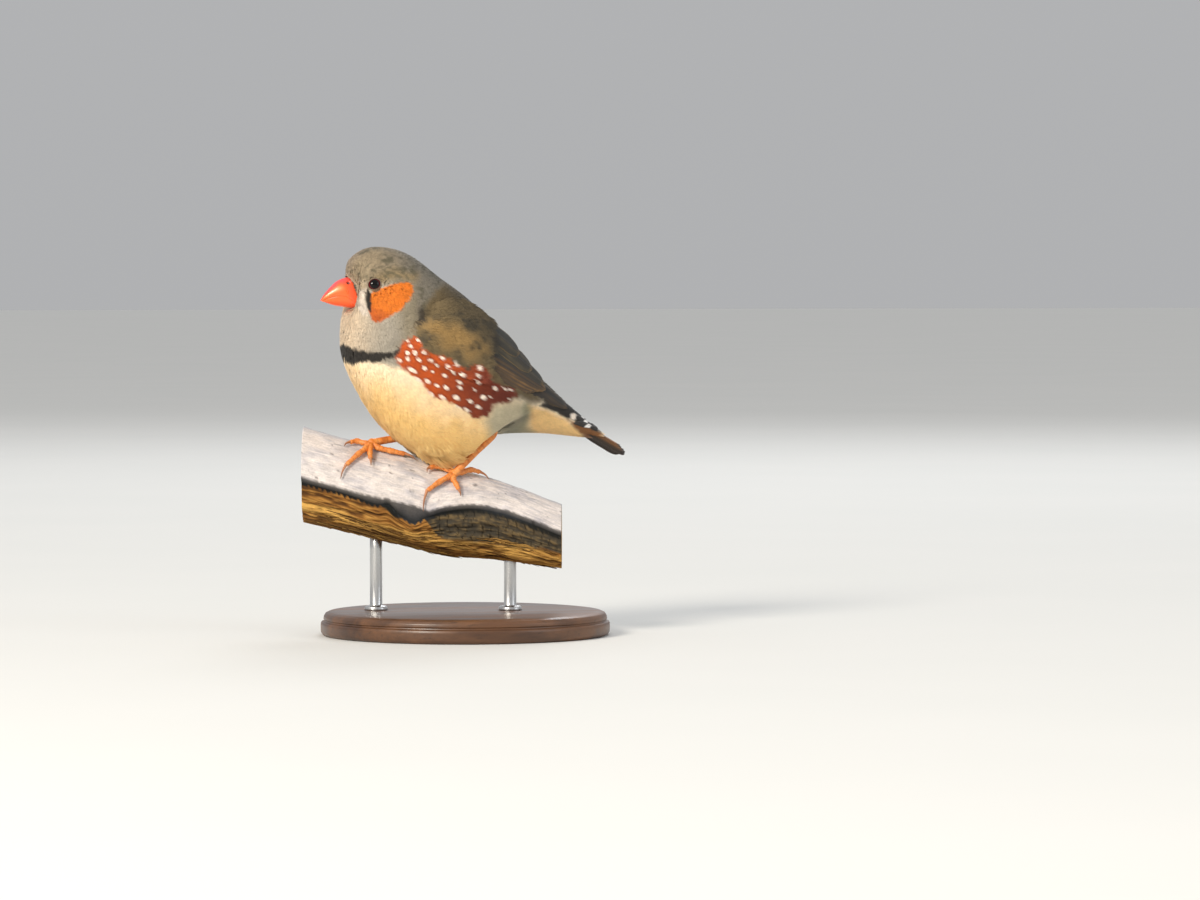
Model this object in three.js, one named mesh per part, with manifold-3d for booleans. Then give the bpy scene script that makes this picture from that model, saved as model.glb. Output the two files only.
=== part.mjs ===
// A male zebra finch at life size, perched on a short cut length of dead palm stalk above a display stand.
// Millimetres, +Z up. The origin is the centre of the stand's underside and -X is the way the bird faces.
// The bird's mid plane is y = 0 and its left side is -Y.
import * as THREE from "three";
import { mergeVertices } from "three/addons/utils/BufferGeometryUtils.js";
import Module from "manifold-3d";

const wasm = await Module();
wasm.setup();

// Driving sizes
const GAP = 0.3; // kept between pieces that touch
const EYE_RADIUS = 2.2;
const EYE_OPENING = 1.65; // radius of the part that shows between the lids
const EYE_PLACE = [-29.6, 102.1]; // in side view
const LID_RADIUS = 0.34;
const BILL_HALF_WIDTH = 3.7;
const NOSTRIL_RADIUS = 0.55;
const NOSTRIL_PLACE = [-35.6, 2.0, 102.2]; // the right one
const WING_SINK = { bend: 2.7, arm: 1.3, tip: 0.7 }; // how far the wing's bed lies below the body's full outline
const WING_PLATE = 1.4; // thickness of the folded arm with its small coverts
const VANE_THICKNESS = 0.55;
const TAIL_ROOT = [36.7, 0, 59.4];
const TAIL_TIP = [47.8, 0, 53.4];
const TAIL_HALF_WIDTH = 4.4;
const TAIL_VANES = 12;
const TAIL_VANE_WIDTH = 3.0;
const TARSUS_RADIUS = 1.1;
const TOE_RADIUS = 0.92;
const PALM_RADIUS = 1.2;
const PERCH_TURN = THREE.MathUtils.degToRad(-15); // the stalk runs across the way the bird faces
const PERCH_HALF_DEPTH = 13.5;
const PERCH_CROWN = 15; // how far its round upper face falls from the ridge to the sides
const PERCH_MIDDLE = 1.5; // its ridge line, behind the origin
const BASE_RADIUS = 42;
const BASE_HEIGHT = 7;
const ROD_RADIUS = 1.8;
const ROD_SINK = 5; // how deep the rods stand in the stalk
const ROD_PLACES = { stand_rod_front: -26, stand_rod_back: 13 }; // along the stalk

// The body's ribs from the bill's root to the tips of the tail coverts. Each is a slanting cut through the body:
// its top and bottom points in the mid plane, its half width, where it is widest (0 at the top, 1 at the bottom),
// how square it is (2 is an ellipse), and how far back its sides are swept.
const RIBS = [
  { name: "bill root", top: [-35.2, 104.2], bottom: [-33.6, 95.0], half: 3.9, waist: 0.5, square: 2.0, swept: 2.0 },
  { name: "brow", top: [-35.4, 105.2], bottom: [-35.6, 93.9], half: 5.8, waist: 0.5, square: 2.1, swept: 3.0 },
  { name: "forehead", top: [-34.0, 109.2], bottom: [-36.4, 91.2], half: 8.0, waist: 0.48, square: 2.2, swept: 1.8 },
  { name: "crown", top: [-29.0, 112.3], bottom: [-36.7, 87.9], half: 9.1, waist: 0.5, square: 2.2, swept: 0.6 },
  { name: "hind crown", top: [-22.5, 112.3], bottom: [-36.8, 84.4], half: 9.9, waist: 0.52, square: 2.2, swept: 0 },
  { name: "nape", top: [-15.8, 109.8], bottom: [-36.4, 81.2], half: 12.0, waist: 0.55, square: 2.2, swept: 0 },
  { name: "mantle", top: [-8.4, 104.2], bottom: [-34.9, 76.9], half: 14.6, waist: 0.56, square: 2.2, swept: 0 },
  { name: "shoulders", top: [0, 98.0], bottom: [-32.0, 71.1], half: 16.6, waist: 0.54, square: 2.3, swept: 0 },
  { name: "back", top: [8.5, 89.9], bottom: [-26.6, 62.8], half: 17.4, waist: 0.52, square: 2.3, swept: 0 },
  { name: "saddle", top: [15.4, 81.6], bottom: [-18.9, 55.3], half: 16.6, waist: 0.52, square: 2.3, swept: 0 },
  { name: "rump", top: [21.6, 74.8], bottom: [-6.4, 49.5], half: 14.0, waist: 0.5, square: 2.2, swept: 0 },
  { name: "vent", top: [27.4, 69.4], bottom: [2.4, 57.0], half: 10.0, waist: 0.48, square: 2.1, swept: 0 },
  { name: "tail coverts", top: [33.4, 64.0], bottom: [19.6, 58.4], half: 6.6, waist: 0.48, square: 2, swept: 0 },
  { name: "covert tips", top: [39.4, 59.7], bottom: [35.8, 57.0], half: 3.6, waist: 0.5, square: 2, swept: 0 },
];
// The body's lengths: first and last rib, and into how many rings and sides each is split
const HEAD = [0, 5.4, 11, 26];
const NECK = [5.44, 6.8, 4, 30];
const TORSO = [6.84, 11.3, 12, 30];
const RUMP = [11.35, RIBS.length - 1, 5, 24];

// The folded wing in side view, from its bend to its tip
const WING_TOP = [[-19.4, 92.4], [-6.0, 95.8], [6.8, 88.0], [19.0, 77.0], [29.2, 65.6]];
const WING_FOOT = [[-21.5, 88.0], [-10.5, 79.4], [2.5, 73.8], [15.0, 68.6], [28.6, 64.0]];
const WING_BEND = 0.14; // share of its length in which the bend is rounded
const WING_ARM = 0.3; // share where the arm ends

// The tiers of vanes on the folded wing, from the lowest layer to the uppermost. Places are shares of the wing's
// length and of its height from the upper edge, for the first and the last vane of the tier.
const WING_TIERS = [
  { name: "primaries", count: 6, root: [[0.4, 0.8], [0.4, 0.5]], tip: [[0.86, 0.9], [0.99, 0.4]],
    lift: [0.6, 1.0], width: 3.9, bow: 0.04 },
  { name: "secondaries", count: 5, root: [[0.28, 0.84], [0.3, 0.5]], tip: [[0.72, 0.88], [0.82, 0.42]],
    lift: [1.1, 1.4], width: 4.5, bow: 0.03 },
  { name: "tertials", count: 3, root: [[0.3, 0.42], [0.28, 0.16]], tip: [[0.8, 0.3], [0.62, 0.14]],
    lift: [1.4, 1.7], width: 5.0, bow: -0.02 },
  { name: "greater coverts", count: 6, root: [[0.17, 0.86], [0.17, 0.16]], tip: [[0.46, 0.92], [0.44, 0.2]],
    lift: [1.6, 1.9], width: 4.8, bow: 0 },
  { name: "median coverts", count: 5, root: [[0.06, 0.8], [0.06, 0.2]], tip: [[0.28, 0.86], [0.27, 0.2]],
    lift: [1.8, 2.1], width: 4.8, bow: 0 },
];

// The bill in side view, from inside the head to its tip: culmen, line of the mouth, keel, share of the width
const BILL = [
  { culmen: [-30.5, 103.6], mouth: [-30.2, 96.0], keel: [-29.8, 94.9], width: 1.0 },
  { culmen: [-34.6, 103.9], mouth: [-33.2, 96.8], keel: [-32.8, 94.9], width: 1.0 },
  { culmen: [-37.8, 102.8], mouth: [-35.9, 98.2], keel: [-35.9, 94.9], width: 0.84 },
  { culmen: [-40.0, 100.9], mouth: [-38.4, 98.3], keel: [-38.5, 95.4], width: 0.62 },
  { culmen: [-41.8, 98.8], mouth: [-40.8, 97.7], keel: [-40.5, 96.2], width: 0.34 },
  { culmen: [-42.9, 97.1], mouth: [-42.4, 96.9], keel: [-41.7, 96.7], width: 0.08 },
];

// The stalk by its length: heights of its ridge, of the hard edge of its pale upper face, and of its underside
const STALK = [
  { along: -47, ridge: 60.6, edge: 45.8, under: 33.0 },
  { along: -36, ridge: 57.2, edge: 42.8, under: 30.4 },
  { along: -26, ridge: 54.8, edge: 39.6, under: 28.0 },
  { along: -15, ridge: 52.3, edge: 35.2, under: 25.4 },
  { along: -6, ridge: 49.4, edge: 37.2, under: 23.2 },
  { along: 3, ridge: 46.8, edge: 38.0, under: 22.6 },
  { along: 12, ridge: 43.9, edge: 36.4, under: 21.8 },
  { along: 20, ridge: 41.0, edge: 33.4, under: 20.6 },
  { along: 28, ridge: 37.8, edge: 30.2, under: 19.4 },
];

// Each leg: its heel, and places on the stalk, along and across it with the height over its surface, for the root of
// its toes and for each toe. A toe's last place is the tip of its claw.
const LEGS = {
  left: {
    heel: [6.5, -7, 58.4],
    root: [-2.9, -6.0, 1.25],
    toes: {
      inner: [[-5.4, -4.9, 1.05], [-8.1, -5.1, 0.95], [-10.1, -6.4, 0.8], [-10.8, -7.7, 0.35]],
      middle: [[-4.4, -7.2, 1.05], [-7.4, -9.2, 0.95], [-10.7, -10.9, 0.8], [-11.8, -12.0, 0.35]],
      outer: [[-3.2, -7.6, 1.05], [-2.3, -8.6, 0.95], [-1.6, -9.4, 0.8], [-1.0, -10.2, 0.35]],
      hind: [[-0.7, -4.6, 1.2], [1.8, -2.6, 1.4], [4.4, -1.6, 1.1], [7.0, -3.2, 0.35]],
    },
  },
  right: {
    heel: [-13.6, 7.4, 57.8],
    root: [-27.0, -2.8, 1.5],
    toes: {
      inner: [[-27.3, -4.8, 1.05], [-27.3, -6.6, 0.95], [-27.1, -8.0, 0.8], [-26.9, -9.2, 0.35]],
      middle: [[-28.4, -5.2, 1.05], [-30.8, -7.7, 0.95], [-34.1, -10.2, 0.8], [-35.6, -11.6, 0.35]],
      outer: [[-28.8, -3.2, 1.05], [-31.3, -2.8, 0.95], [-33.3, -4.2, 0.8], [-34.8, -5.8, 0.35]],
      hind: [[-25.0, -3.8, 1.0], [-21.2, -3.9, 0.9], [-17.2, -3.7, 0.8], [-14.2, -4.7, 0.35]],
    },
  },
};

const at = (x, y, z) => new THREE.Vector3(x, y, z);
const clamp01 = (value) => THREE.MathUtils.clamp(value, 0, 1);
const smooth = THREE.MathUtils.smoothstep;
const mix = THREE.MathUtils.lerp;
const lineThrough = (points) => new THREE.CatmullRomCurve3(points, false, "catmullrom", 0.5);
const sideLine = (pairs) => lineThrough(pairs.map(([x, z]) => at(x, 0, z)));

// Joins rings of equal count into one closed geometry, its faces split alike on the two sides of each ring.
function closedLoft(rings) {
  const count = rings[0].length;
  const points = rings.flat();
  const faces = [];
  for (let i = 0; i + 1 < rings.length; i++) {
    for (let j = 0; j < count; j++) {
      const a = i * count + j;
      const b = i * count + ((j + 1) % count);
      if (j < count / 2) faces.push([a, b, b + count], [a, b + count, a + count]);
      else faces.push([a, b, a + count], [b, b + count, a + count]);
    }
  }
  for (const [first, turned] of [[0, true], [points.length - count, false]]) {
    const centre = points.length;
    const ring = points.slice(first, first + count);
    points.push(ring.reduce((sum, point) => sum.add(point), at(0, 0, 0)).divideScalar(count));
    for (let j = 0; j < count; j++) {
      const [a, b] = [first + j, first + ((j + 1) % count)];
      faces.push(turned ? [centre, b, a] : [centre, a, b]);
    }
  }
  return outwards(new THREE.BufferGeometry().setFromPoints(points).setIndex(faces.flat()));
}

// Turns the faces of a closed geometry outwards.
function outwards(geometry) {
  const index = Array.from(geometry.index.array);
  const corner = (k) => new THREE.Vector3().fromBufferAttribute(geometry.attributes.position, index[k]);
  let volume = 0;
  for (let k = 0; k < index.length; k += 3) volume += corner(k).dot(corner(k + 1).cross(corner(k + 2)));
  if (volume > 0) return geometry;
  for (let k = 0; k < index.length; k += 3) [index[k + 1], index[k + 2]] = [index[k + 2], index[k + 1]];
  return geometry.setIndex(index);
}

// A geometry as a solid that can be joined and cut.
function solidOf(geometry) {
  const bare = geometry.clone();
  bare.deleteAttribute("normal");
  bare.deleteAttribute("uv");
  const merged = mergeVertices(bare, 1e-4);
  const vertProperties = merged.attributes.position.array;
  const triVerts = new Uint32Array(merged.index.array);
  return new wasm.Manifold(new wasm.Mesh({ numProp: 3, vertProperties, triVerts }));
}

// The largest closed surface of a solid, as a geometry.
function geometryOf(solid) {
  const largest = solid.decompose().reduce((best, piece) => (piece.volume() > best.volume() ? piece : best));
  const { vertProperties, triVerts } = largest.getMesh();
  const geometry = new THREE.BufferGeometry();
  geometry.setAttribute("position", new THREE.BufferAttribute(vertProperties, 3));
  return geometry.setIndex(new THREE.BufferAttribute(triVerts, 1));
}

const joined = (geometries) => geometries.map(solidOf).reduce((sum, solid) => sum.add(solid));
const cut = (solid, geometries) => geometries.map(solidOf).reduce((left, tool) => left.subtract(tool), solid);

function mirrored(geometry) {
  const copy = geometry.clone();
  copy.attributes.position = geometry.attributes.position.clone();
  const places = copy.attributes.position;
  for (let i = 0; i < places.count; i++) places.setY(i, -places.getY(i));
  return outwards(copy);
}

// Body

const topLine = sideLine(RIBS.map((rib) => rib.top));
const bottomLine = sideLine(RIBS.map((rib) => rib.bottom));
const ribShape = lineThrough(RIBS.map((rib) => at(rib.half, rib.waist, rib.square)));
const ribSweep = lineThrough(RIBS.map((rib, i) => at(rib.swept, i, 0)));
const LAST_RIB = RIBS.length - 1;

// A point of the body: rib counts ribs from the first, angle is 0 at the top and half a turn at the bottom, and grow
// moves the point outwards.
function bodyPoint(rib, angle, grow = 0) {
  const t = clamp01(rib / LAST_RIB);
  const [top, bottom, shape] = [topLine.getPoint(t), bottomLine.getPoint(t), ribShape.getPoint(t)];
  const waist = top.clone().lerp(bottom, shape.y);
  const end = (Math.cos(angle) > 0 ? top : bottom).clone();
  end.addScaledVector(end.clone().sub(waist).normalize(), grow);
  const power = 2 / shape.z;
  const reach = Math.abs(Math.sin(angle)) ** power;
  const point = waist.clone().lerp(end, Math.abs(Math.cos(angle)) ** power);
  point.y = Math.sign(Math.sin(angle)) * (shape.x + grow) * reach;
  point.x += ribSweep.getPoint(t).x * reach ** 2;
  return point;
}

// Half the body's width at a place in side view, 0 outside its outline.
function sideOfBody(x, z) {
  const ends = (rib) => [topLine.getPoint(rib / LAST_RIB), bottomLine.getPoint(rib / LAST_RIB)];
  let [low, high] = [1, LAST_RIB];
  for (let i = 0; i < 20; i++) {
    const middle = (low + high) / 2;
    const [top, bottom] = ends(middle);
    const behind = (bottom.x - top.x) * (z - top.z) - (bottom.z - top.z) * (x - top.x) > 0;
    if (behind) low = middle;
    else high = middle;
  }
  const [top, bottom] = ends(low);
  const shape = ribShape.getPoint(low / LAST_RIB);
  const along = (z - top.z) / (bottom.z - top.z);
  const reach = along < shape.y ? (shape.y - along) / shape.y : (along - shape.y) / (1 - shape.y);
  return reach < 1 ? shape.x * (1 - reach ** shape.z) ** (1 / shape.z) : 0;
}

function bodyLength(from, to, rings, sides, grow = 0) {
  return closedLoft(
    Array.from({ length: rings + 1 }, (_, i) => {
      const rib = mix(from, to, i / rings);
      return Array.from({ length: sides }, (_, j) => bodyPoint(rib, (j / sides) * 2 * Math.PI, grow));
    }),
  );
}

// Head

// Where the left eye looks out of the head, and which way.
function eyeSeat() {
  const [x, z] = EYE_PLACE;
  const point = at(x, -sideOfBody(x, z), z);
  const near = (dx, dz) => at(x + dx, -sideOfBody(x + dx, z + dz), z + dz).sub(point);
  const normal = near(0, 1).cross(near(1, 0)).normalize();
  return { point, normal: normal.y < 0 ? normal : normal.negate() };
}

function eyeBall(radius) {
  const { point, normal } = eyeSeat();
  const depth = Math.sqrt(EYE_RADIUS ** 2 - EYE_OPENING ** 2);
  const ball = new THREE.SphereGeometry(radius, 14, 9);
  return ball.translate(...point.addScaledVector(normal, -depth).toArray());
}

// The rim of the lids, a little longer than high, standing out of the head around the eye.
function lidRim() {
  const { point, normal } = eyeSeat();
  const rim = new THREE.TorusGeometry(EYE_OPENING + LID_RADIUS * 0.8, LID_RADIUS, 5, 16).scale(1.1, 1, 0.9);
  const turn = new THREE.Quaternion().setFromUnitVectors(at(0, 0, 1), normal);
  return rim.applyQuaternion(turn).translate(...point.addScaledVector(normal, 0.1).toArray());
}

// One half of the bill: rings over or under the line of the mouth, with a flat side along it.
function mandible(far, side, grow = 0) {
  const line = (key) => sideLine(BILL.map((station) => station[key]));
  const [mouth, end] = [line("mouth"), line(far)];
  const width = lineThrough(BILL.map((station, i) => at(station.width, i, 0)));
  const steps = 9;
  const sides = 10;
  return closedLoft(
    Array.from({ length: steps + 1 }, (_, i) => {
      const t = i / steps;
      const base = mouth.getPoint(t);
      base.z += side * (GAP / 2 - grow);
      if (i === 0) base.x += grow;
      const reach = end.getPoint(t).sub(base);
      if (i === 0) reach.x += grow;
      reach.z += side * grow;
      const half = BILL_HALF_WIDTH * width.getPoint(t).x + grow;
      return Array.from({ length: sides }, (_, j) => {
        const angle = (j / (sides - 1)) * Math.PI;
        const point = base.clone().addScaledVector(reach, Math.sin(angle) ** 0.9);
        point.y = half * Math.cos(angle);
        return point;
      });
    }),
  );
}

function billPieces() {
  const nostril = new THREE.SphereGeometry(NOSTRIL_RADIUS, 10, 8);
  nostril.scale(1.3, 0.8, 1).translate(...NOSTRIL_PLACE);
  return {
    bill_upper: geometryOf(cut(solidOf(mandible("culmen", 1)), [nostril, mirrored(nostril)])),
    bill_lower: mandible("keel", -1),
  };
}

function head() {
  const full = joined([bodyLength(...HEAD), lidRim(), mirrored(lidRim())]);
  const socket = eyeBall(EYE_RADIUS + GAP);
  const bill = [mandible("culmen", 1, GAP), mandible("keel", -1, GAP)];
  return geometryOf(cut(full, [socket, mirrored(socket), ...bill]));
}

// Wings

const wingTop = sideLine(WING_TOP);
const wingFoot = sideLine(WING_FOOT);

// The surface that the folded left wing lies on: u runs from the bend to the tip, v from the upper to the lower edge.
function wingBed(u, v) {
  const point = wingTop.getPoint(clamp01(u)).lerp(wingFoot.getPoint(clamp01(u)), v);
  const { bend, arm, tip } = WING_SINK;
  const sink = u < WING_ARM ? mix(bend, arm, u / WING_ARM) : mix(arm, tip, (u - WING_ARM) / (1 - WING_ARM));
  const onBody = sideOfBody(point.x, point.z) - sink;
  const free = mix(mix(12, 3.0, u), mix(16, 4.2, u), v);
  point.y = -0.5 * (onBody + free + Math.hypot(onBody - free, 2.5));
  return point;
}

function wingNormal(u, v) {
  const step = 0.02;
  const along = wingBed(Math.min(u + step, 1), v).sub(wingBed(Math.max(u - step, 0), v));
  const across = wingBed(u, v + step).sub(wingBed(u, v - step));
  const normal = along.cross(across).normalize();
  return normal.y > 0 ? normal.negate() : normal;
}

// A point over the bed, its v drawn in at the rounded bend.
function wingPoint(u, v, lift, margin = 0) {
  const front = 1 - clamp01((u + 2 * margin) / WING_BEND);
  const rounded = mix(0.5, v, Math.max(Math.sqrt(1 - front ** 2), 0.35) + margin);
  return wingBed(u, rounded).addScaledVector(wingNormal(u, rounded), lift);
}

// A plate over a stretch of the wing's bed, between two heights.
function wingPlate([uFrom, uTo], [vFrom, vTo], low, high, [uCells, vCells], margin = 0) {
  const box = new THREE.BoxGeometry(1, 1, 1, uCells, vCells, 1);
  const places = box.attributes.position;
  for (let i = 0; i < places.count; i++) {
    const u = mix(uFrom, uTo, (places.getX(i) + 0.5) ** 1.5); // shorter cells at the bend
    const v = mix(vFrom, vTo, places.getY(i) + 0.5);
    const point = wingPoint(u, v, places.getZ(i) > 0 ? high : low, margin);
    places.setXYZ(i, point.x, point.y, point.z);
  }
  return outwards(box);
}

// One feather: a thin blade, widest past its middle and round at the tip. place gives a point by the share of its
// length, the distance to one side of its shaft and the height over it.
function vane(place, width, steps = 4) {
  const rings = Array.from({ length: steps + 1 }, (_, i) => {
    const w = 1 - (1 - i / steps) ** 1.6;
    const round = Math.sqrt(Math.max(1 - clamp01((w - 0.7) / 0.3) ** 2, 0.1));
    const half = (width / 2) * mix(0.55, 1, smooth(w, 0, 0.5)) * round;
    const thick = (VANE_THICKNESS / 2) * mix(1, 0.6, w);
    return [place(w, -half, thick), place(w, half, thick), place(w, half, -thick), place(w, -half, -thick)];
  });
  return closedLoft(rings);
}

// A feather on the wing's bed, its height above the bed going from the first lift to the second.
function wingVane(root, tip, lifts, width, bow) {
  return vane((w, aside, over) => {
    const u = mix(root[0], tip[0], w);
    const height = wingTop.getPoint(clamp01(u)).distanceTo(wingFoot.getPoint(clamp01(u)));
    const v = mix(root[1], tip[1], w) + bow * 4 * w * (1 - w) + aside / height;
    return wingPoint(u, v, mix(lifts[0], lifts[1], w) + over);
  }, width);
}

function wingVanes() {
  return WING_TIERS.flatMap(({ count, root, tip, lift, width, bow }) =>
    Array.from({ length: count }, (_, i) => {
      const share = i / (count - 1);
      const between = ([from, to]) => [mix(from[0], to[0], share), mix(from[1], to[1], share)];
      const height = mix(lift[0], lift[1], share);
      return wingVane(between(root), between(tip), [height - 0.5, height], width, bow);
    }),
  );
}

const wingRoom = (floor, margin) =>
  wingPlate([-margin, 1], [-margin, 1 + margin], floor, 8, [12, 6], margin);

// The left wing, cleared of the plumage that stands around its bed.
function wing() {
  const around = solidOf(bodyLength(3, LAST_RIB, 20, 32, GAP)).subtract(solidOf(wingRoom(-1, 0.005)));
  const arm = wingPlate([0.01, 0.55], [0.04, 0.96], 0, WING_PLATE, [9, 5]);
  const hand = wingPlate([0.5, 0.94], [0.14, 0.9], -0.1, 0.35, [6, 3]);
  return geometryOf(joined([arm, hand, ...wingVanes()]).subtract(around));
}

// Tail

// The closed tail: twelve vanes fanned a little, the middle pair uppermost, on a short core in the coverts.
function tail() {
  const [root, tip] = [at(...TAIL_ROOT), at(...TAIL_TIP)];
  const way = tip.clone().sub(root).normalize();
  const up = at(-way.z, 0, way.x);
  const core = closedLoft(
    [0, 0.35, 0.7].map((t) =>
      Array.from({ length: 10 }, (_, j) => {
        const angle = (j / 10) * 2 * Math.PI;
        const point = root.clone().lerp(tip, t);
        point.addScaledVector(up, 1.15 * (1 - 0.5 * t) * Math.cos(angle) - 0.5);
        point.y = 3.0 * (1 - 0.5 * t) * Math.sin(angle);
        return point;
      }),
    ),
  );
  const vanes = Array.from({ length: TAIL_VANES }, (_, i) => {
    const side = i % 2 ? 1 : -1;
    const rank = Math.floor(i / 2); // 0 is the middle pair
    const share = rank / (TAIL_VANES / 2 - 1);
    return vane((w, aside, over) => {
      const spread = mix(0.7 + 0.35 * rank, 0.8 + (TAIL_HALF_WIDTH - 2.2) * share, w);
      const out = side * spread + aside;
      const drop = 0.25 * rank + 0.08 * out * out + (side > 0 ? 0.15 : 0);
      const point = root.clone().lerp(tip, w * (1 - 0.08 * share));
      point.addScaledVector(up, 0.7 - drop - 0.3 * w + over);
      point.y = out;
      return point;
    }, TAIL_VANE_WIDTH);
  });
  const coverts = bodyLength(...RUMP, GAP).translate(way.x * GAP, 0, way.z * GAP);
  return joined([core, ...vanes]).subtract(solidOf(coverts));
}

// Stalk

const stalkLine = (key) => sideLine(STALK.map((station) => [station.along, station[key]]));
const stalkLines = { ridge: stalkLine("ridge"), edge: stalkLine("edge"), under: stalkLine("under") };

// Heights of the stalk at a place along it.
function stalkAt(along) {
  const height = (key) => {
    const line = stalkLines[key];
    let [low, high] = [0, 1];
    for (let i = 0; i < 24; i++) {
      const middle = (low + high) / 2;
      if (line.getPoint(middle).x < along) low = middle;
      else high = middle;
    }
    return line.getPoint(low).z;
  };
  return { ridge: height("ridge"), edge: height("edge"), under: height("under") };
}

// From along, across and up to the object's own frame.
const onStalk = (along, across, up) => at(along, across, up).applyAxisAngle(at(0, 0, 1), PERCH_TURN);

// Height of the stalk's upper face.
function stalkTop(along, across) {
  const { ridge } = stalkAt(along);
  const share = clamp01(Math.abs(across - PERCH_MIDDLE) / PERCH_HALF_DEPTH);
  return ridge - PERCH_CROWN * (1 - Math.sqrt(1 - share ** 2));
}

// The stalk's section: a round upper face down to a hard edge on the near side, and a narrower underside.
function stalkRing(along) {
  const { ridge, edge, under } = stalkAt(along);
  const points = [];
  const nearShare = Math.sqrt(1 - (1 - Math.min((ridge - edge) / PERCH_CROWN, 0.98)) ** 2);
  for (let i = 0; i <= 10; i++) {
    const across = PERCH_MIDDLE + PERCH_HALF_DEPTH * mix(-nearShare, 0.98, i / 10);
    points.push(onStalk(along, across, stalkTop(along, across)));
  }
  for (let i = 0; i <= 6; i++) {
    const angle = (i / 6) * Math.PI;
    const top = mix(stalkTop(along, PERCH_MIDDLE + PERCH_HALF_DEPTH * 0.98), edge, i / 6) - 1.2;
    const across = PERCH_MIDDLE + (PERCH_HALF_DEPTH - 2.2) * Math.cos(angle);
    points.push(onStalk(along, across, mix(top, under, Math.sin(angle) ** 0.8)));
  }
  return points;
}

function stalk() {
  const first = STALK[0].along;
  const last = STALK[STALK.length - 1].along;
  const body = closedLoft(Array.from({ length: 16 }, (_, i) => stalkRing(mix(first, last, i / 15))));
  const hole = (along) => rodBetween(along, 0, rodTop(along) + GAP, ROD_RADIUS + GAP);
  const holes = Object.values(ROD_PLACES).map(hole);
  return geometryOf(cut(solidOf(body), holes));
}

// Stand

const rodTop = (along) => stalkAt(along).under + ROD_SINK;

function rodBetween(along, from, to, radius) {
  const rod = new THREE.CylinderGeometry(radius, radius, to - from, 16).rotateX(Math.PI / 2);
  const place = onStalk(along, PERCH_MIDDLE, (from + to) / 2);
  return rod.translate(place.x, place.y, place.z);
}

function standBase() {
  const outline = [[0, 0], [BASE_RADIUS - 0.6, 0], [BASE_RADIUS, 0.6], [BASE_RADIUS, BASE_HEIGHT - 1.6],
    [BASE_RADIUS - 1.6, BASE_HEIGHT], [0, BASE_HEIGHT]];
  return new THREE.LatheGeometry(outline.map(([r, z]) => new THREE.Vector2(r, z)), 48).rotateX(Math.PI / 2);
}

// Legs

// A round limb along points, its radius by the share of its length.
function limb(points, radius, sides = 8, steps = 6) {
  const line = lineThrough(points);
  const frames = line.computeFrenetFrames(steps);
  return closedLoft(
    Array.from({ length: steps + 1 }, (_, i) => {
      const t = i / steps;
      const size = radius(t);
      return Array.from({ length: sides }, (_, j) => {
        const angle = (j / sides) * 2 * Math.PI;
        return line.getPoint(t)
          .addScaledVector(frames.normals[i], size * Math.cos(angle))
          .addScaledVector(frames.binormals[i], size * Math.sin(angle));
      });
    }),
  );
}

// A point over the stalk's upper face, the height measured square to it.
function overStalk([along, across, height]) {
  const slope = (stalkTop(along, across + 0.1) - stalkTop(along, across - 0.1)) / 0.2;
  const lift = (height + GAP) / Math.hypot(slope, 1);
  return onStalk(along, across - slope * lift, stalkTop(along, across) + lift);
}

function legPieces(side, plumage) {
  const { heel, root, toes } = LEGS[side];
  const palm = overStalk(root);
  const shank = at(...heel).sub(palm).normalize();
  const pieces = {};
  const tarsus = (from, grow) => {
    const ends = [at(...heel).addScaledVector(shank, 2), palm.clone().addScaledVector(shank, from)];
    const line = [ends[0], at(...heel).lerp(palm, 0.5), ends[1]];
    return solidOf(limb(line, (t) => TARSUS_RADIUS * mix(1.25, 0.95, smooth(t, 0, 0.4)) + grow, 10, 6));
  };
  const pad = new THREE.SphereGeometry(PALM_RADIUS, 12, 8).translate(palm.x, palm.y, palm.z);
  const lines = Object.fromEntries(Object.entries(toes).map(([name, places]) => [name, places.map(overStalk)]));
  const limbs = Object.values(lines).map((line) =>
    limb([palm.clone(), ...line.slice(0, 3)], (t) => TOE_RADIUS * mix(1.1, 0.72, t), 8, 7));
  const foot = joined([pad, ...limbs]).subtract(plumage).subtract(tarsus(PALM_RADIUS * 0.8, GAP));
  pieces[`tarsus_${side}`] = geometryOf(tarsus(PALM_RADIUS * 0.8 + GAP, 0).subtract(plumage));
  pieces[`foot_${side}`] = geometryOf(foot);
  for (const [name, line] of Object.entries(lines)) {
    const way = line[3].clone().sub(line[2]).normalize();
    const start = line[2].clone().addScaledVector(way, GAP + 0.05);
    const middle = start.clone().lerp(line[3], 0.55).addScaledVector(line[2].clone().sub(line[1]).normalize(), 0.4);
    const claw = limb([start, middle, line[3]], (t) => mix(0.5, 0.12, t), 6, 4);
    pieces[`claw_${side}_${name}`] = geometryOf(solidOf(claw).subtract(plumage));
  }
  return pieces;
}

// The whole display

const display = new THREE.Group();
const bird = new THREE.Group();
const stand = new THREE.Group();
display.add(bird, stand);

function add(group, name, geometry, color, roughness = 0.8, metalness = 0) {
  const mesh = new THREE.Mesh(geometry, new THREE.MeshStandardMaterial({ color, roughness, metalness }));
  mesh.name = name;
  group.add(mesh);
}

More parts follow.
